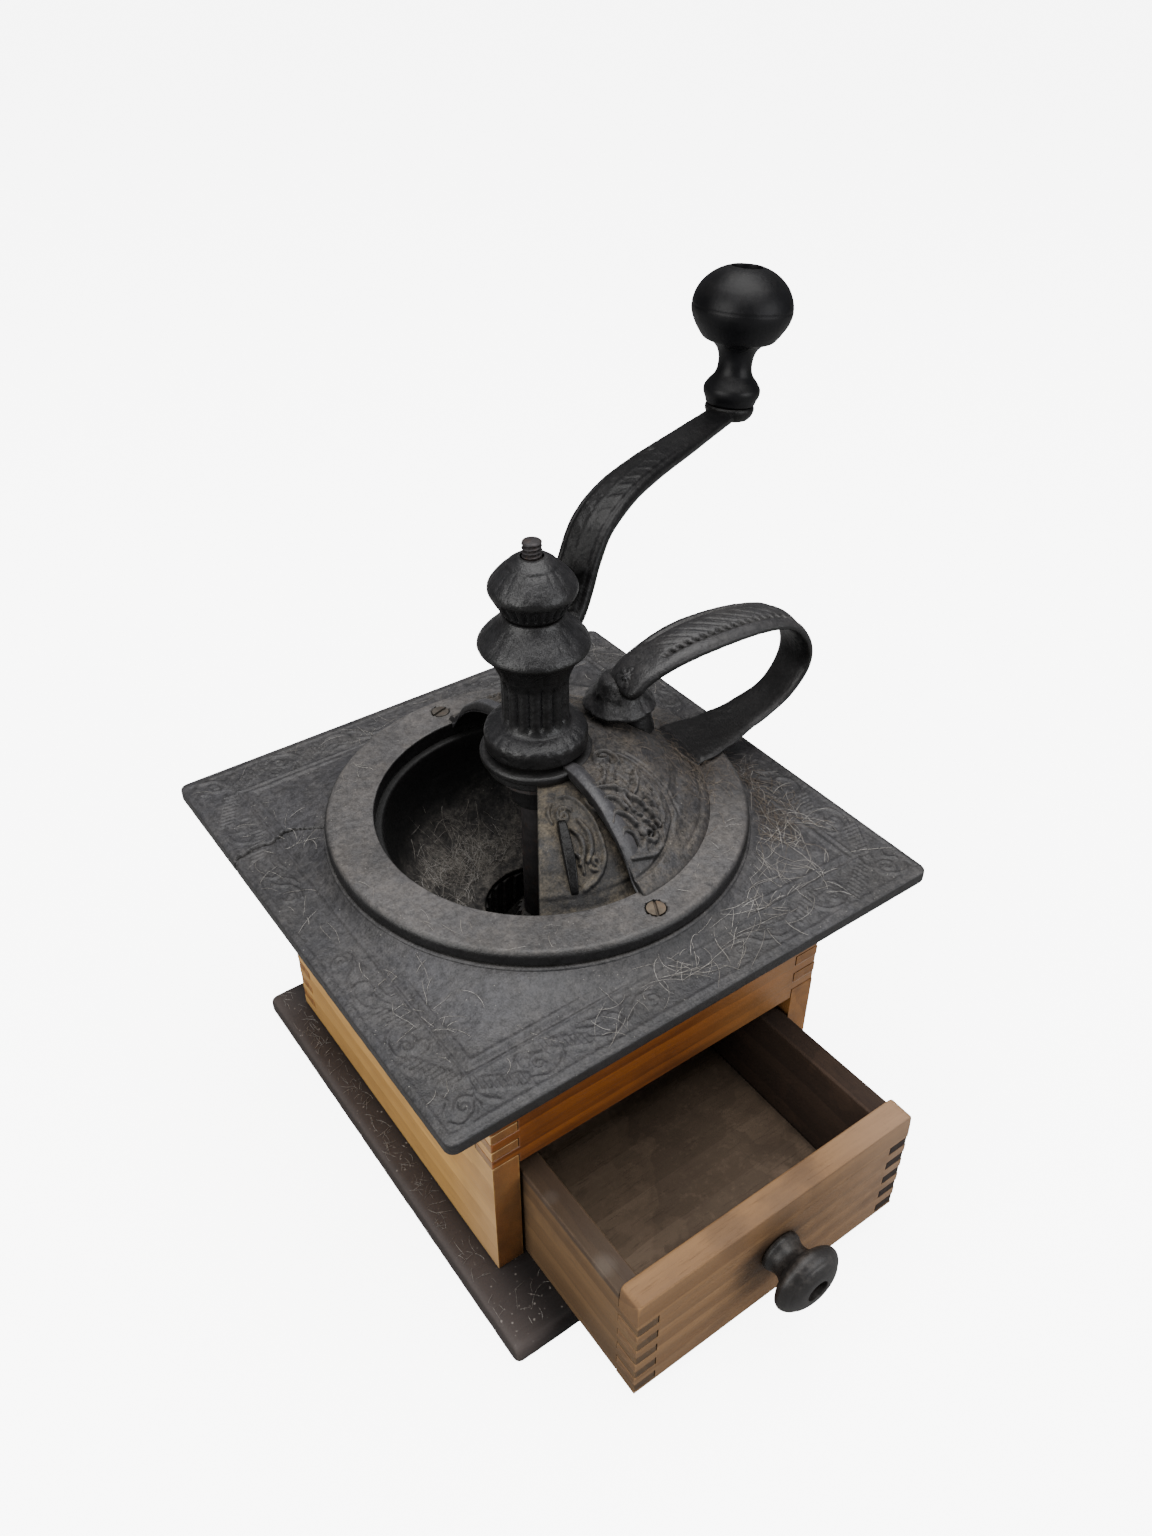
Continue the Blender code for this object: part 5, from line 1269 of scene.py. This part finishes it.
def column_change(angle, radius, z):
    """Flutes up the column, with beading bands on its foot, flare and top."""
    outer = radius > 7
    wave = np.abs(np.sin(angle * 8.0))
    flutes = ramp(z, 159.2, 161.4) * ramp(z, 176.6, 173.6)
    radius = radius - outer * flutes * 0.95 * (1 - wave ** 0.75)
    flare = ramp(z, 177.0, 179.0) * ramp(z, 183.4, 182.2)
    radius = radius + outer * flare * 0.35 * wave ** 0.8
    top = ramp(z, 187.8, 189.0) * ramp(z, 194.6, 193.0)
    radius = radius + outer * top * 0.17 * (np.abs(np.cos(angle * 11.0)) ** 0.7 - 0.6)
    foot = ramp(z, 154.9, 155.6) * ramp(z, 158.0, 157.2)
    radius = radius + outer * foot * 0.22 * (np.abs(np.cos(angle * 14.0)) - 0.6)
    wobble = (cast_wobble(angle, radius, z, 4, 0.08, 1.0)
              + cast_wobble(angle, radius, z, 1.2, 0.035, 2.0))
    return radius + outer * wobble, z


revolve("crank_column", COLUMN_PROFILE, 352, IRON_CRANK, column_change, sharp=70, body="crank",
        stands_for="crank")


def strap(name, path, degrees, width, thick, relief, material, count, around, power, cap,
          noise_seed, settle=None, **settings):
    """Bar along an (r, z) path in an upright plane at degrees, with a softly squared section.

    width(t) and thick(t) give its size at t, 0 to 1 along it. relief(t, u, v, distance) is
    added outward; u runs -1 to 1 across and v from underside to top. power squares the section,
    and both ends are rounded over cap.
    """
    path = curve(path, count)
    along = np.gradient(path, axis=0)
    along /= norm(along, axis=1)[:, None]
    distance = distances(path)
    t = distance / distance[-1]
    angle = np.linspace(0, TAU, 2000)
    unit = np.c_[np.cos(angle), np.sin(angle)]
    outline = np.sign(unit) * np.abs(unit) ** (2 / power)
    points = np.zeros((count, around, 3))
    for k in range(count):
        half = np.array([width(t[k]) / 2, thick(t[k]) / 2])
        section = resample(half * outline, around + 1)[:-1]
        share = section / half
        outward = np.sign(share) * np.abs(share) ** (power - 1) / half
        outward /= norm(outward, axis=1)[:, None]
        height = relief(t[k], share[:, 0], share[:, 1], distance[k])
        past = max(1 - min(distance[k], distance[-1] - distance[k]) / cap, 0.0)
        shrink = math.sqrt(1 - past ** 2) * 0.45 + 0.55
        section = section * shrink + outward * height[:, None]
        normal = np.array([-along[k, 1], along[k, 0]])
        place = path[k] + section[:, 1:2] * normal
        points[k] = np.c_[place[:, 0], section[:, 0], place[:, 1]]
    points = points @ turn_z(degrees).T
    if settle is not None:
        points = settle(points, t, path)
    rough = (fractal(points, 3.5, 3, seed=noise_seed) * 0.10
             + fractal(points, 0.9, 2, seed=noise_seed + 3) * 0.04)
    points += rough[..., None] * np.array([0.4, 0.4, 1.0])
    piece(name, points, bar_faces(count, around), material, sharp=70, **settings)


# ---------------------------------------------------------------- crank arm
CRANK_DEGREES = 22.6
ARM_PATH = [  # r, z
    (10.5, 184.0), (17.4, 187.8), (22.2, 194.8), (25.2, 200.8), (30.5, 207.9), (36.0, 211.4),
    (43.3, 213.8), (52.4, 215.3), (68.3, 215.8), (88.5, 215.3), (103.0, 215.0), (123.4, 214.4),
    (126.5, 214.3)]


def arm_width(t):
    return np.interp(t, [0, 0.33, 0.66, 1], [13.2, 14.6, 12.8, 9.8])


def arm_thick(t):
    return 6.1 - 1.6 * t


def arm_relief(t, u, v, distance):
    """Veined leaf on the inner part of the arm's top, ending in a bead."""
    leaf = ramp(t, 0.02, 0.06) * ramp(t, 0.62, 0.52)
    edge = -0.42 * hump(np.abs(u), 0.74, 0.10) * ramp(t, 0.66, 0.58) * ramp(t, 0.02, 0.05)
    spine = 0.45 * hump(u, 0, 0.17 - 0.06 * t)
    wave = np.cos((distance - 5.2 * np.abs(u)) * TAU / 6.2)
    vein = 0.42 * np.clip(wave, 0, 1) ** 1.2 * (np.abs(u) < 0.68) * (np.abs(u) > 0.16)
    bead = np.clip(1 - ((t - 0.605) / 0.022) ** 2 - ((u - 0.55) / 0.3) ** 2, 0, 1)
    tip = np.clip(1 - ((t - 0.60) / 0.03) ** 2 - (u / 0.4) ** 2, 0, 1)
    relief = 0.42 * leaf * (spine + vein) + edge + 0.55 * bead ** 0.5 + 0.30 * tip
    return ramp(v, 0.55, 0.95) * relief


strap("crank_arm", ARM_PATH, CRANK_DEGREES, arm_width, arm_thick, arm_relief, IRON_ARM,
      count=330, around=84, power=3.0, cap=0.5, noise_seed=2.0, body="crank")

# ---------------------------------------------------------------- crank knob on its tilted pad
KNOB_TILT = math.radians(7.3)
TILT = np.array([[math.cos(KNOB_TILT), 0, math.sin(KNOB_TILT)], [0, 1, 0],
                 [-math.sin(KNOB_TILT), 0, math.cos(KNOB_TILT)]])
KNOB_PLACE = {"turn": turn_z(CRANK_DEGREES) @ TILT,
              "at": turn_z(CRANK_DEGREES) @ np.array([126.3, 0.0, 216.8])}


def pad_change(angle, radius, z):
    return radius + cast_wobble(angle, radius, z, 3, 0.08, 5.0), z


PAD_PROFILE = fillet(
    [(2.9, -5.2), (6.6, -5.2), (7.8, -4.0), (8.6, -2.4), (8.7, -1.0), (8.2, -0.3), (2.9, -0.3)],
    [0.2, 0.5, 0.9, 0.7, 0.5, 0.3, 0.2], arc=4, step=0.6)
revolve("crank_arm_pad", PAD_PROFILE, 140, IRON_ARM, pad_change, body="crank", **KNOB_PLACE)

KNOB_PROFILE = fillet(
    [(2.8, 0.0), (8.6, 0.0), (9.0, 1.6), (9.9, 3.4), (10.0, 5.4), (8.6, 7.6), (6.6, 9.8),
     (5.9, 12.4), (6.0, 15.6), (6.9, 18.4), (8.8, 20.4), (12.2, 21.6), (13.1, 22.6),
     (14.6, 24.6), (16.4, 27.6), (17.3, 30.4), (17.4, 32.6), (16.7, 35.8), (14.9, 39.2),
     (12.0, 42.0), (8.6, 44.0), (5.5, 45.0), (5.3, 44.6), (5.3, 40.6), (2.8, 40.6)],
    [0.2, 0.6, 0.8, 1.0, 1.0, 1.2, 1.4, 1.6, 1.6, 1.2, 1.0, 0.6, 0.8, 1.4, 1.6, 1.5, 1.5, 2.0,
     2.0, 2.0, 1.6, 0.3, 0.2, 0.2, 0.2], arc=6, step=0.5)


def knob_change(angle, radius, z):
    """Handling wear and two scored lines."""
    wear = -np.abs(fractal(polar(angle, radius, z), 6, 3, seed=14.0)) * 0.10 - 0.02
    score = -0.13 * hump(z, 32.4, 0.28) - 0.1 * hump(z, 21.4, 0.3)
    return radius * np.where(radius > 12, 0.9965, 1.0) + (wear + score) * (radius > 5.6), z


revolve("crank_knob_turning", KNOB_PROFILE, 220, KNOB, knob_change, body="knob",
        stands_for="crank_knob", slot="black_wood", **KNOB_PLACE)

# ---------------------------------------------------------------- adjusting nut
NUT_PROFILE = fillet(
    [(3.4, 196.5), (8.8, 196.5), (9.2, 197.0), (10.6, 199.0), (12.2, 201.8), (13.2, 203.8),
     (13.3, 205.2), (12.7, 206.5), (11.2, 208.4), (9.2, 210.6), (7.4, 212.1), (6.6, 213.0),
     (4.4, 214.5), (3.4, 214.6)],
    [0.2, 0.4, 0.5, 1.0, 1.4, 0.9, 0.7, 0.9, 1.2, 1.2, 0.9, 0.5, 0.5, 0.2], step=0.35)


def nut_change(angle, radius, z):
    """Fluted cup below, petals above, and a ridge round the top."""
    outer = radius > 5
    cup = ramp(z, 197.4, 198.6) * ramp(z, 203.6, 202.4)
    radius = radius - outer * cup * 0.75 * (1 - np.abs(np.sin(angle * 12.0)) ** 0.7)
    top = ramp(z, 206.4, 207.2) * ramp(z, 212.2, 211.4)
    petals = outer * top * (np.abs(np.sin(angle * 10.0)) ** 0.6 - 0.7)
    radius = radius + petals * 0.14
    z = z + petals * 0.07
    radius = radius + outer * hump(z, 212.4, 0.5) * 0.18
    wobble = outer * (cast_wobble(angle, radius, z, 3, 0.08, 11.0)
                      + cast_wobble(angle, radius, z, 0.9, 0.04, 12.0))
    return radius + wobble, z


revolve("adjusting_nut_casting", NUT_PROFILE, 336, IRON_CRANK, nut_change, sharp=70, body="nut",
        stands_for="adjusting_nut")


# ---------------------------------------------------------------- shaft with its threaded stud
def main_shaft():
    count, pitch, thread_depth = 72, 1.27, 0.80
    profile = [(0.02, 57.0), (2.8, 57.0), (3.2, 57.6), (3.2, 65.6), (3.0, 65.8), (3.0, 78.0),
               (5.5, 78.0), (5.5, 148.4), (3.6, 148.4), (3.6, 195.0)]
    profile += [(3.0, z) for z in np.arange(195.2, 218.9, 0.127)]
    profile += [(2.7, 219.1), (2.2, 219.3), (0.02, 219.3)]
    angle, radius, z = turned_grid(profile, count)
    phase = (z / pitch - angle / TAU) % 1.0
    thread = (np.abs(phase - 0.5) * 2.0) ** 1.1
    threaded = ramp(z, 195.2, 196.0) * ramp(z, 219.0, 218.4)
    radius = np.where(radius > 0.1, radius - threaded * thread * thread_depth, radius)
    piece("main_shaft_body", polar(angle, radius, z), [quads(count, len(profile), True, False)],
          STUD, "shaft", "main_shaft", weld=0.05, sharp=55, slot="steel")


main_shaft()
# square drive under the crank's eye
SQUARE_PROFILE = [(3.0, 148.2), (0, 148.3), (0, 160), (0, 175), (0, 192.5), (0.5, 192.8),
                  (1.5, 192.8)]  # inset, z
rounded_slab("shaft_square_body", (-3.8, -3.8), (3.8, 3.8), 0.5, SQUARE_PROFILE, 1.0, STUD,
             body="shaft", slot="steel")

# ---------------------------------------------------------------- carry handle
HANDLE_PATH = [  # r, z, from the foot on the dome round to the tail
    (31.0, 156.6), (37.7, 162.8), (51.9, 167.4), (66.7, 168.8), (83.1, 168.0), (96.0, 164.2),
    (103.8, 154.8), (104.6, 144.7), (97.4, 134.6), (84.5, 129.2), (74.0, 127.5), (66.0, 127.2),
    (60.5, 127.0), (56.5, 127.3), (53.4, 128.3), (50.6, 130.0)]
HANDLE_WIDTHS = [  # share along, width
    (0.0, 15.4), (0.23, 20.0), (0.46, 17.8), (0.70, 14.2), (0.78, 15.8), (0.87, 20.0),
    (0.93, 23.5), (1.0, 24.5)]
UNDER_TAIL = np.array([  # r, z of the dome and ring below the tail
    (30.0, 145.6), (40.0, 139.9), (43.2, 136.8), (45.2, 134.6), (48.5, 132.3), (50.5, 130.2),
    (52.6, 128.8), (54.6, 127.5), (55.9, 126.0), (57.0, 125.6), (70.0, 125.6)])


def handle_width(t):
    steps = zip(HANDLE_WIDTHS, HANDLE_WIDTHS[1:])
    return HANDLE_WIDTHS[0][1] + sum((wide - narrow) * ramp(t, start, end)
                                     for (start, narrow), (end, wide) in steps)


def handle_thick(t):
    return 5.6 - 2.0 * min(t / 0.46, 1.0) - 1.3 * ramp(t, 0.9, 1.0)


def handle_relief(t, u, v, distance):
    """Notched band along one side, a veined swelling in the middle and a groove opposite."""
    w = (u + 1) / 2
    band = 0.30 * ramp(w, 0.22, 0.18)
    notches = np.clip(np.cos((distance + 6.0 * (w - 0.26)) * TAU / 3.0) + 0.25, 0, 1) ** 0.8
    notch = -1.45 * hump(w, 0.275, 0.06) * notches
    lane = np.clip((w - 0.30) / 0.50, 0, 1)
    swell = 0.75 * np.sin(np.pi * lane) ** 0.7 * ramp(w, 0.29, 0.33) * ramp(w, 0.82, 0.78)
    veins = np.clip(np.cos((distance + 13.0 * lane ** 0.8) * TAU / 5.4), 0, 1) ** 2.0
    vein = -0.24 * veins * ramp(w, 0.29, 0.34) * ramp(w, 0.74, 0.62)
    groove = -0.95 * hump(w, 0.83, 0.035)
    where = ramp(v, 0.45, 0.9) * ramp(t, 0.10, 0.14) * ramp(t, 0.80, 0.74)
    return where * (band + notch + swell + vein + groove)


def handle_settle(points, t, path):
    """The flared tail follows the dome's curve and sinks into it."""
    def under(radius):
        return np.interp(radius, UNDER_TAIL[:, 0], UNDER_TAIL[:, 1])

    radius = np.hypot(points[..., 0], points[..., 1])
    drop = under(radius) - under(path[:, 0])[:, None]
    points[..., 2] += ramp(t, 0.80, 0.88)[:, None] * drop
    points[..., 1] -= 1.6 * ramp(t, 0.78, 0.90)[:, None]
    return points


strap("carry_handle_strap", HANDLE_PATH, -4.0, handle_width, handle_thick, handle_relief,
      IRON_HANDLE, count=520, around=104, power=2.9, cap=5.0, noise_seed=7.0,
      settle=handle_settle, stands_for="carry_handle")

FOOT_PROFILE = fillet(
    [(0, 147.1), (4.8, 147.1), (8.0, 148.8), (11.8, 149.4), (12.0, 150.3), (10.6, 151.9),
     (8.9, 153.9), (7.9, 156.4), (6.2, 159.6), (0, 160.6)],
    [0, 0.3, 1.0, 0.5, 0.5, 1.0, 1.2, 1.4, 1.5, 0], step=0.5)


def foot_change(angle, radius, z):
    """Seven leaves round the bell."""
    leaf = ramp(z, 148.8, 149.8) * ramp(z, 156.0, 153.5)
    outer = radius > 4
    radius = radius + outer * leaf * (0.75 * np.abs(np.cos(angle * 3.5)) ** 0.6 - 0.55)
    return radius + outer * cast_wobble(angle, radius, z, 2.2, 0.30, 21.0), z


revolve("handle_foot_bell", FOOT_PROFILE, 180, IRON_HANDLE, foot_change, at=(34.0, 1.7, 0.0),
        sharp=70)


def handle_rosette():
    """Small rosette on the handle's foot: domed middle with petals round it."""
    centre, normal = np.array([33.0, -3.4, 162.2]), np.array([-0.62, -0.10, 0.78])
    radius, height, petals = 4.1, 1.5, 7
    count, rows = 72, 15
    normal = normal / norm(normal)
    across = np.cross(normal, [0, 1, 0.2])
    across /= norm(across)
    along = np.cross(normal, across)
    angle, share = np.meshgrid(np.linspace(0, TAU, count, endpoint=False),
                               np.linspace(0, 1, rows + 1)[1:], indexing="ij")
    wave = np.abs(np.cos(angle * petals / 2))
    outer = ramp(share, 0.4, 0.8)
    reach = radius * share * (1 - outer + outer * (0.9 + 0.1 * wave ** 0.6))
    rise = height * (0.55 * np.sqrt(np.clip(1 - share ** 4, 0, 1)) * (0.7 + 0.3 * wave)
                     + 0.5 * hump(share, 0, 0.36) ** 0.5)
    outward = np.cos(angle)[..., None] * across + np.sin(angle)[..., None] * along
    points = centre + reach[..., None] * outward + rise[..., None] * normal
    points = np.vstack([points.reshape(-1, 3), centre + normal * height * 1.05,
                        centre - normal * 0.6])
    piece("handle_rosette", points, fanned_faces(count, rows, flip=True), IRON_HANDLE, sharp=70)


handle_rosette()

# ---------------------------------------------------------------- drawer knob
DRAWER_KNOB_PROFILE = fillet(  # r, distance out from the drawer's face
    [(1.9, 0.3), (7.0, 0.3), (7.2, 1.6), (6.2, 3.6), (6.0, 5.8), (7.0, 8.0), (10.2, 9.6),
     (12.0, 11.0), (12.3, 12.6), (11.4, 14.4), (9.0, 16.2), (6.4, 17.2), (3.9, 17.4),
     (3.9, 13.2), (1.9, 13.2)],
    [0.2, 0.4, 0.6, 0.9, 0.9, 1.0, 1.0, 0.8, 0.8, 1.0, 1.2, 1.0, 0.4, 0.2, 0.2], arc=6, step=0.4)


def drawer_knob_change(angle, radius, z):
    wobble = cast_wobble(angle, radius, z, 4, 0.10, 31.0)
    return radius + (wobble - 0.15 * hump(z, 15.4, 0.3)) * (radius > 4.2), z


revolve("drawer_knob_turning", DRAWER_KNOB_PROFILE, 180, DRAWER_KNOB, drawer_knob_change,
        turn=np.array([[1, 0, 0], [0, 0, -1], [0, 1, 0]], float), at=(0.0, DRAWER_FACE_Y, 33.0),
        body="drawer", stands_for="drawer_knob", slot="black_wood")

# ---------------------------------------------------------------- lint and hairs
PALE_LINT = fluff("lint_pale", (0.42, 0.40, 0.375), (0.22, 0.20, 0.178))
BROWN_LINT = fluff("lint_brown", (0.165, 0.135, 0.105), (0.085, 0.065, 0.048))
ON_RING = 125.75  # lint height just over the ring's top
ON_BASE = 7.15


# Height of the ground at plan points, for each place where lint lies.
def plate_height(points):
    radius = norm(points, axis=1)
    size = np.abs(points)
    squareness = size.max(1) / np.maximum(radius, 1e-6)
    t = np.clip((radius - BOSS_RADIUS) / (PANEL_HALF / squareness - BOSS_RADIUS), 0, 1)
    z = np.where(t < 1, SLOPE_FOOT + SLOPE_RISE * (1 - t) ** 1.75, 114.55)
    z = np.where(radius < 69.4, ON_RING, z)
    return np.where((size > PLATE_HALF - 1).any(1), 114.0, z)


def dome_height(points):
    radius = norm(points, axis=1)
    dome = np.array(DOME_OUTER[:-1])
    below = np.where(radius > 69.0, plate_height(points), 125.7)
    return np.where(radius > 55.9, below, np.interp(radius, dome[:, 0], dome[:, 1]) + 0.35)


def bowl_height(points):
    return np.interp(norm(points, axis=1), [19, 28.4, 38.6, 46.4, 50.2, 50.6],
                     [79.6, 82.4, 89.0, 98.2, 108.6, 116.0]) + 0.1


def flat_height(z):
    return lambda points: np.full(len(points), z)


# Whether a whole strand lies where it should.
def on_plate(points):
    on_top = (np.abs(points) < PLATE_HALF - 0.6).all()
    return (norm(points, axis=1) > 70.5).all() and on_top


def on_dome(points):
    radius = norm(points, axis=1)
    from_boss = np.hypot(points[:, 0] - BOSS_X, points[:, 1] - BOSS_Y)
    return ((points[:, 0] > 7.5) & (radius > 20.5) & (radius < 68.0) & (from_boss > 8.8)).all()


def on_ring(points):
    radius = norm(points, axis=1)
    return ((radius > 57.5) & (radius < 68.0)).all()


def in_bowl(points):
    radius = norm(points, axis=1)
    return ((radius > 22) & (radius < 49)).all()


def on_base(points):
    x, y = points.T
    under_case = (np.abs(x) < 66.6) & (np.abs(y) < 71.0)
    return (~under_case & (np.abs(x) < 75) & (y > -95) & (y < 80)).all()


def strand(random, centre_x, centre_y, spread_x, spread_y, mean_length):
    """A wandering line in plan."""
    length = mean_length * (0.35 + 1.1 * random.rand())
    count = max(7, int(length / 0.75))
    step = length / (count - 1)
    heading = random.rand() * TAU
    curl = random.normal() * 0.8 / max(length, 7.0)
    point = np.array([centre_x + random.normal() * spread_x,
                      centre_y + random.normal() * spread_y])
    line = []
    for _ in range(count):
        line.append(point)
        heading += curl * step + random.normal() * 0.06
        curl += random.normal() * 0.012
        point = point + step * np.array([math.cos(heading), math.sin(heading)])
    return np.array(line)


def strand_tube(random, line, ground, lift, thick):
    """Four-sided tube along a strand, resting on the ground or rising up to lift above it."""
    t = np.linspace(0, 1, len(line))
    arch = lift * random.rand() ** 2 * np.sin(math.pi * t)
    ripple = 0.12 * np.abs(np.sin(t * (5 + 4 * random.rand()) + random.rand() * 6))
    taper = np.clip(np.minimum(t, 1 - t) * 8, 0.25, 1)
    radius = thick * (0.65 + 0.5 * random.rand()) * taper
    z = ground(line) + radius + (arch + ripple)
    along = np.gradient(line, axis=0)
    along /= np.maximum(norm(along, axis=1), 1e-9)[:, None]
    across = np.c_[-along[:, 1], along[:, 0]]
    sides = []
    for angle in np.radians((0, 90, 180, 270)):
        plan = line + across * (math.cos(angle) * radius)[:, None]
        sides.append(np.c_[plan, z + math.sin(angle) * radius])
    return np.stack(sides, 1).reshape(-1, 3)


def lint(name, material, seed, *places):
    """Scattered strands. places: (ground height, keep-in test, patches), with patches of
    (centre x, y, spread x, y, how many, mean length, lift, thickness)."""
    random = np.random.RandomState(seed)
    tubes, faces, base = [], [], 0
    for ground, keep, patches in places:
        for *scatter, wanted, length, lift, thick in patches:
            made = tries = 0
            while made < wanted and tries < wanted * 6:
                tries += 1
                line = strand(random, *scatter, length)
                if not keep(line):
                    continue
                tubes.append(strand_tube(random, line, ground, lift, thick))
                last = base + (len(line) - 1) * 4
                faces += quads(len(line), 4, False, True, base).tolist()
                faces += [[base + 3, base + 2, base + 1, base], [last + k for k in range(4)]]
                base = last + 4
                made += 1
    piece(name, np.vstack(tubes), [faces], material, slot=None)


lint("lint_on_plate", PALE_LINT, 3, (plate_height, on_plate, [
    (-34, -80, 14, 5, 16, 12, 1.2, 0.045),
    (4, -78, 5, 4, 26, 13, 2.0, 0.055),
    (26, -74, 9, 5, 22, 14, 2.0, 0.055),
    (48, -68, 6, 5, 30, 14, 2.0, 0.055),
    (60, -50, 6, 8, 46, 13, 2.4, 0.055),
    (72, -24, 5, 12, 30, 10, 1.6, 0.05),
    (-72, -50, 9, 20, 30, 9, 1.0, 0.045),
    (-74, 30, 8, 22, 26, 8, 0.8, 0.042),
    (-20, 80, 30, 6, 24, 8, 0.8, 0.042),
    (76, 60, 8, 16, 18, 9, 0.8, 0.045)]))
lint("lint_on_dome", BROWN_LINT, 5, (dome_height, on_dome, [
    (54, -16, 6, 8, 150, 7, 1.8, 0.06),
    (46, -26, 7, 7, 80, 6, 1.2, 0.055),
    (52, 14, 7, 12, 110, 7, 1.6, 0.06),
    (30, 28, 12, 10, 70, 6, 1.2, 0.055),
    (28, -12, 7, 6, 40, 4, 0.7, 0.045)]),
    (plate_height, on_plate, [
        (60, -42, 6, 8, 110, 8, 1.4, 0.06),
        (70, -20, 4, 12, 130, 7, 1.4, 0.06)]))
lint("lint_on_ring", PALE_LINT, 7, (flat_height(ON_RING), on_ring, [
    (34, -52, 10, 6, 10, 5, 0.3, 0.045),
    (-50, -30, 12, 14, 12, 5, 0.3, 0.045),
    (-40, 46, 14, 10, 8, 5, 0.3, 0.045)]))
lint("lint_in_bowl", PALE_LINT, 9, (bowl_height, in_bowl, [
    (-14, 28, 6, 6, 90, 10, 2.6, 0.055),
    (-24, 20, 7, 8, 70, 9, 2.0, 0.05),
    (-4, 32, 8, 6, 40, 8, 1.4, 0.05),
    (-6, 24, 3, 3, 14, 12, 5.0, 0.06)]))
lint("lint_on_base", PALE_LINT, 13, (flat_height(ON_BASE), on_base, [
    (-71, 0, 2.4, 40, 110, 5, 0.6, 0.045),
    (-71, 55, 2.4, 16, 40, 4, 0.5, 0.045),
    (-60, -84, 10, 5, 16, 6, 0.5, 0.045)]))


# ---------------------------------------------------------------- floor, light, camera (metres)
def stage_floor():
    """Wide floor that glows white to the camera but throws little light on the mill."""
    half, z = 9, -0.0004
    mesh = bpy.data.meshes.new("floor")
    mesh.from_pydata([(-half, -half, z), (half, -half, z), (half, half, z), (-half, half, z)],
                     [], [(0, 1, 2, 3)])
    obj = bpy.data.objects.new("floor", mesh)
    bpy.context.scene.collection.objects.link(obj)
    graph = Graph("floor_paper")
    paper = graph.mix(graph.span(graph.noise(scale=3.0, detail=3, rough=0.5), 0.3, 0.7),
                      (0.93, 0.93, 0.93), (0.96, 0.96, 0.96))
    seen = graph.node("ShaderNodeLightPath", output="Is Camera Ray")
    mesh.materials.append(graph.shade({
        "Base Color": graph.mix(seen, (0.30, 0.30, 0.30), paper),
        "Roughness": 0.9,
        "Emission Color": (1.0, 1.0, 1.0),
        "Emission Strength": seen * 7.0}))


def softbox(name, at, target, size, power, colour):
    data = bpy.data.lights.new(name, "AREA")
    data.shape = "RECTANGLE"
    data.size, data.size_y = size
    data.energy = power
    data.color = colour
    obj = bpy.data.objects.new(name, data)
    obj.location = at
    obj.rotation_euler = (Vector(target) - Vector(at)).to_track_quat("-Z", "Y").to_euler()
    bpy.context.scene.collection.objects.link(obj)


def studio_world(light, backdrop):
    """Even surroundings: light is what falls on the mill, backdrop what the camera sees."""
    world = bpy.data.worlds.new("studio")
    bpy.context.scene.world = world
    world.use_nodes = True
    nodes, links = world.node_tree.nodes, world.node_tree.links
    background = nodes["Background"]
    strength = nodes.new("ShaderNodeMix")
    strength.data_type = "FLOAT"
    strength.inputs[2].default_value = light
    strength.inputs[3].default_value = backdrop
    seen = nodes.new("ShaderNodeLightPath").outputs["Is Camera Ray"]
    links.new(seen, strength.inputs[0])
    links.new(strength.outputs[0], background.inputs[1])
    background.inputs[0].default_value = (0.97, 0.975, 1.0, 1)


def camera():
    """Looks down on the mill from the front left."""
    right = (0.81105, -0.58497, 0.00093)
    upward = (0.35837, 0.49812, 0.78959)
    backward = (-0.46235, -0.64007, 0.61363)
    data = bpy.data.cameras.new("camera")
    obj = bpy.data.objects.new("camera", data)
    bpy.context.scene.collection.objects.link(obj)
    pose = Matrix((right, upward, backward)).transposed().to_4x4()
    pose.translation = (-0.17214, -0.25964, 0.38060)
    obj.matrix_world = pose
    data.sensor_fit = "AUTO"
    data.sensor_width = 36
    data.lens = 28.9325625
    data.clip_start = 0.01
    data.clip_end = 20
    bpy.context.scene.camera = obj


stage_floor()
softbox("top_softbox", at=(0.10, -0.02, 1.20), target=(0, -0.02, 0.1), size=(1.2, 1.1),
        power=22.0, colour=(1.0, 0.99, 0.98))
softbox("left_softbox", at=(-1.05, -0.10, 0.60), target=(0, 0, 0.1), size=(0.8, 0.8),
        power=13.0, colour=(1.0, 0.99, 0.97))
softbox("front_fill", at=(0.55, -1.20, 0.48), target=(0, 0, 0.08), size=(0.9, 0.7),
        power=11.0, colour=(0.98, 0.985, 1.0))
studio_world(light=0.16, backdrop=8.1)
camera()
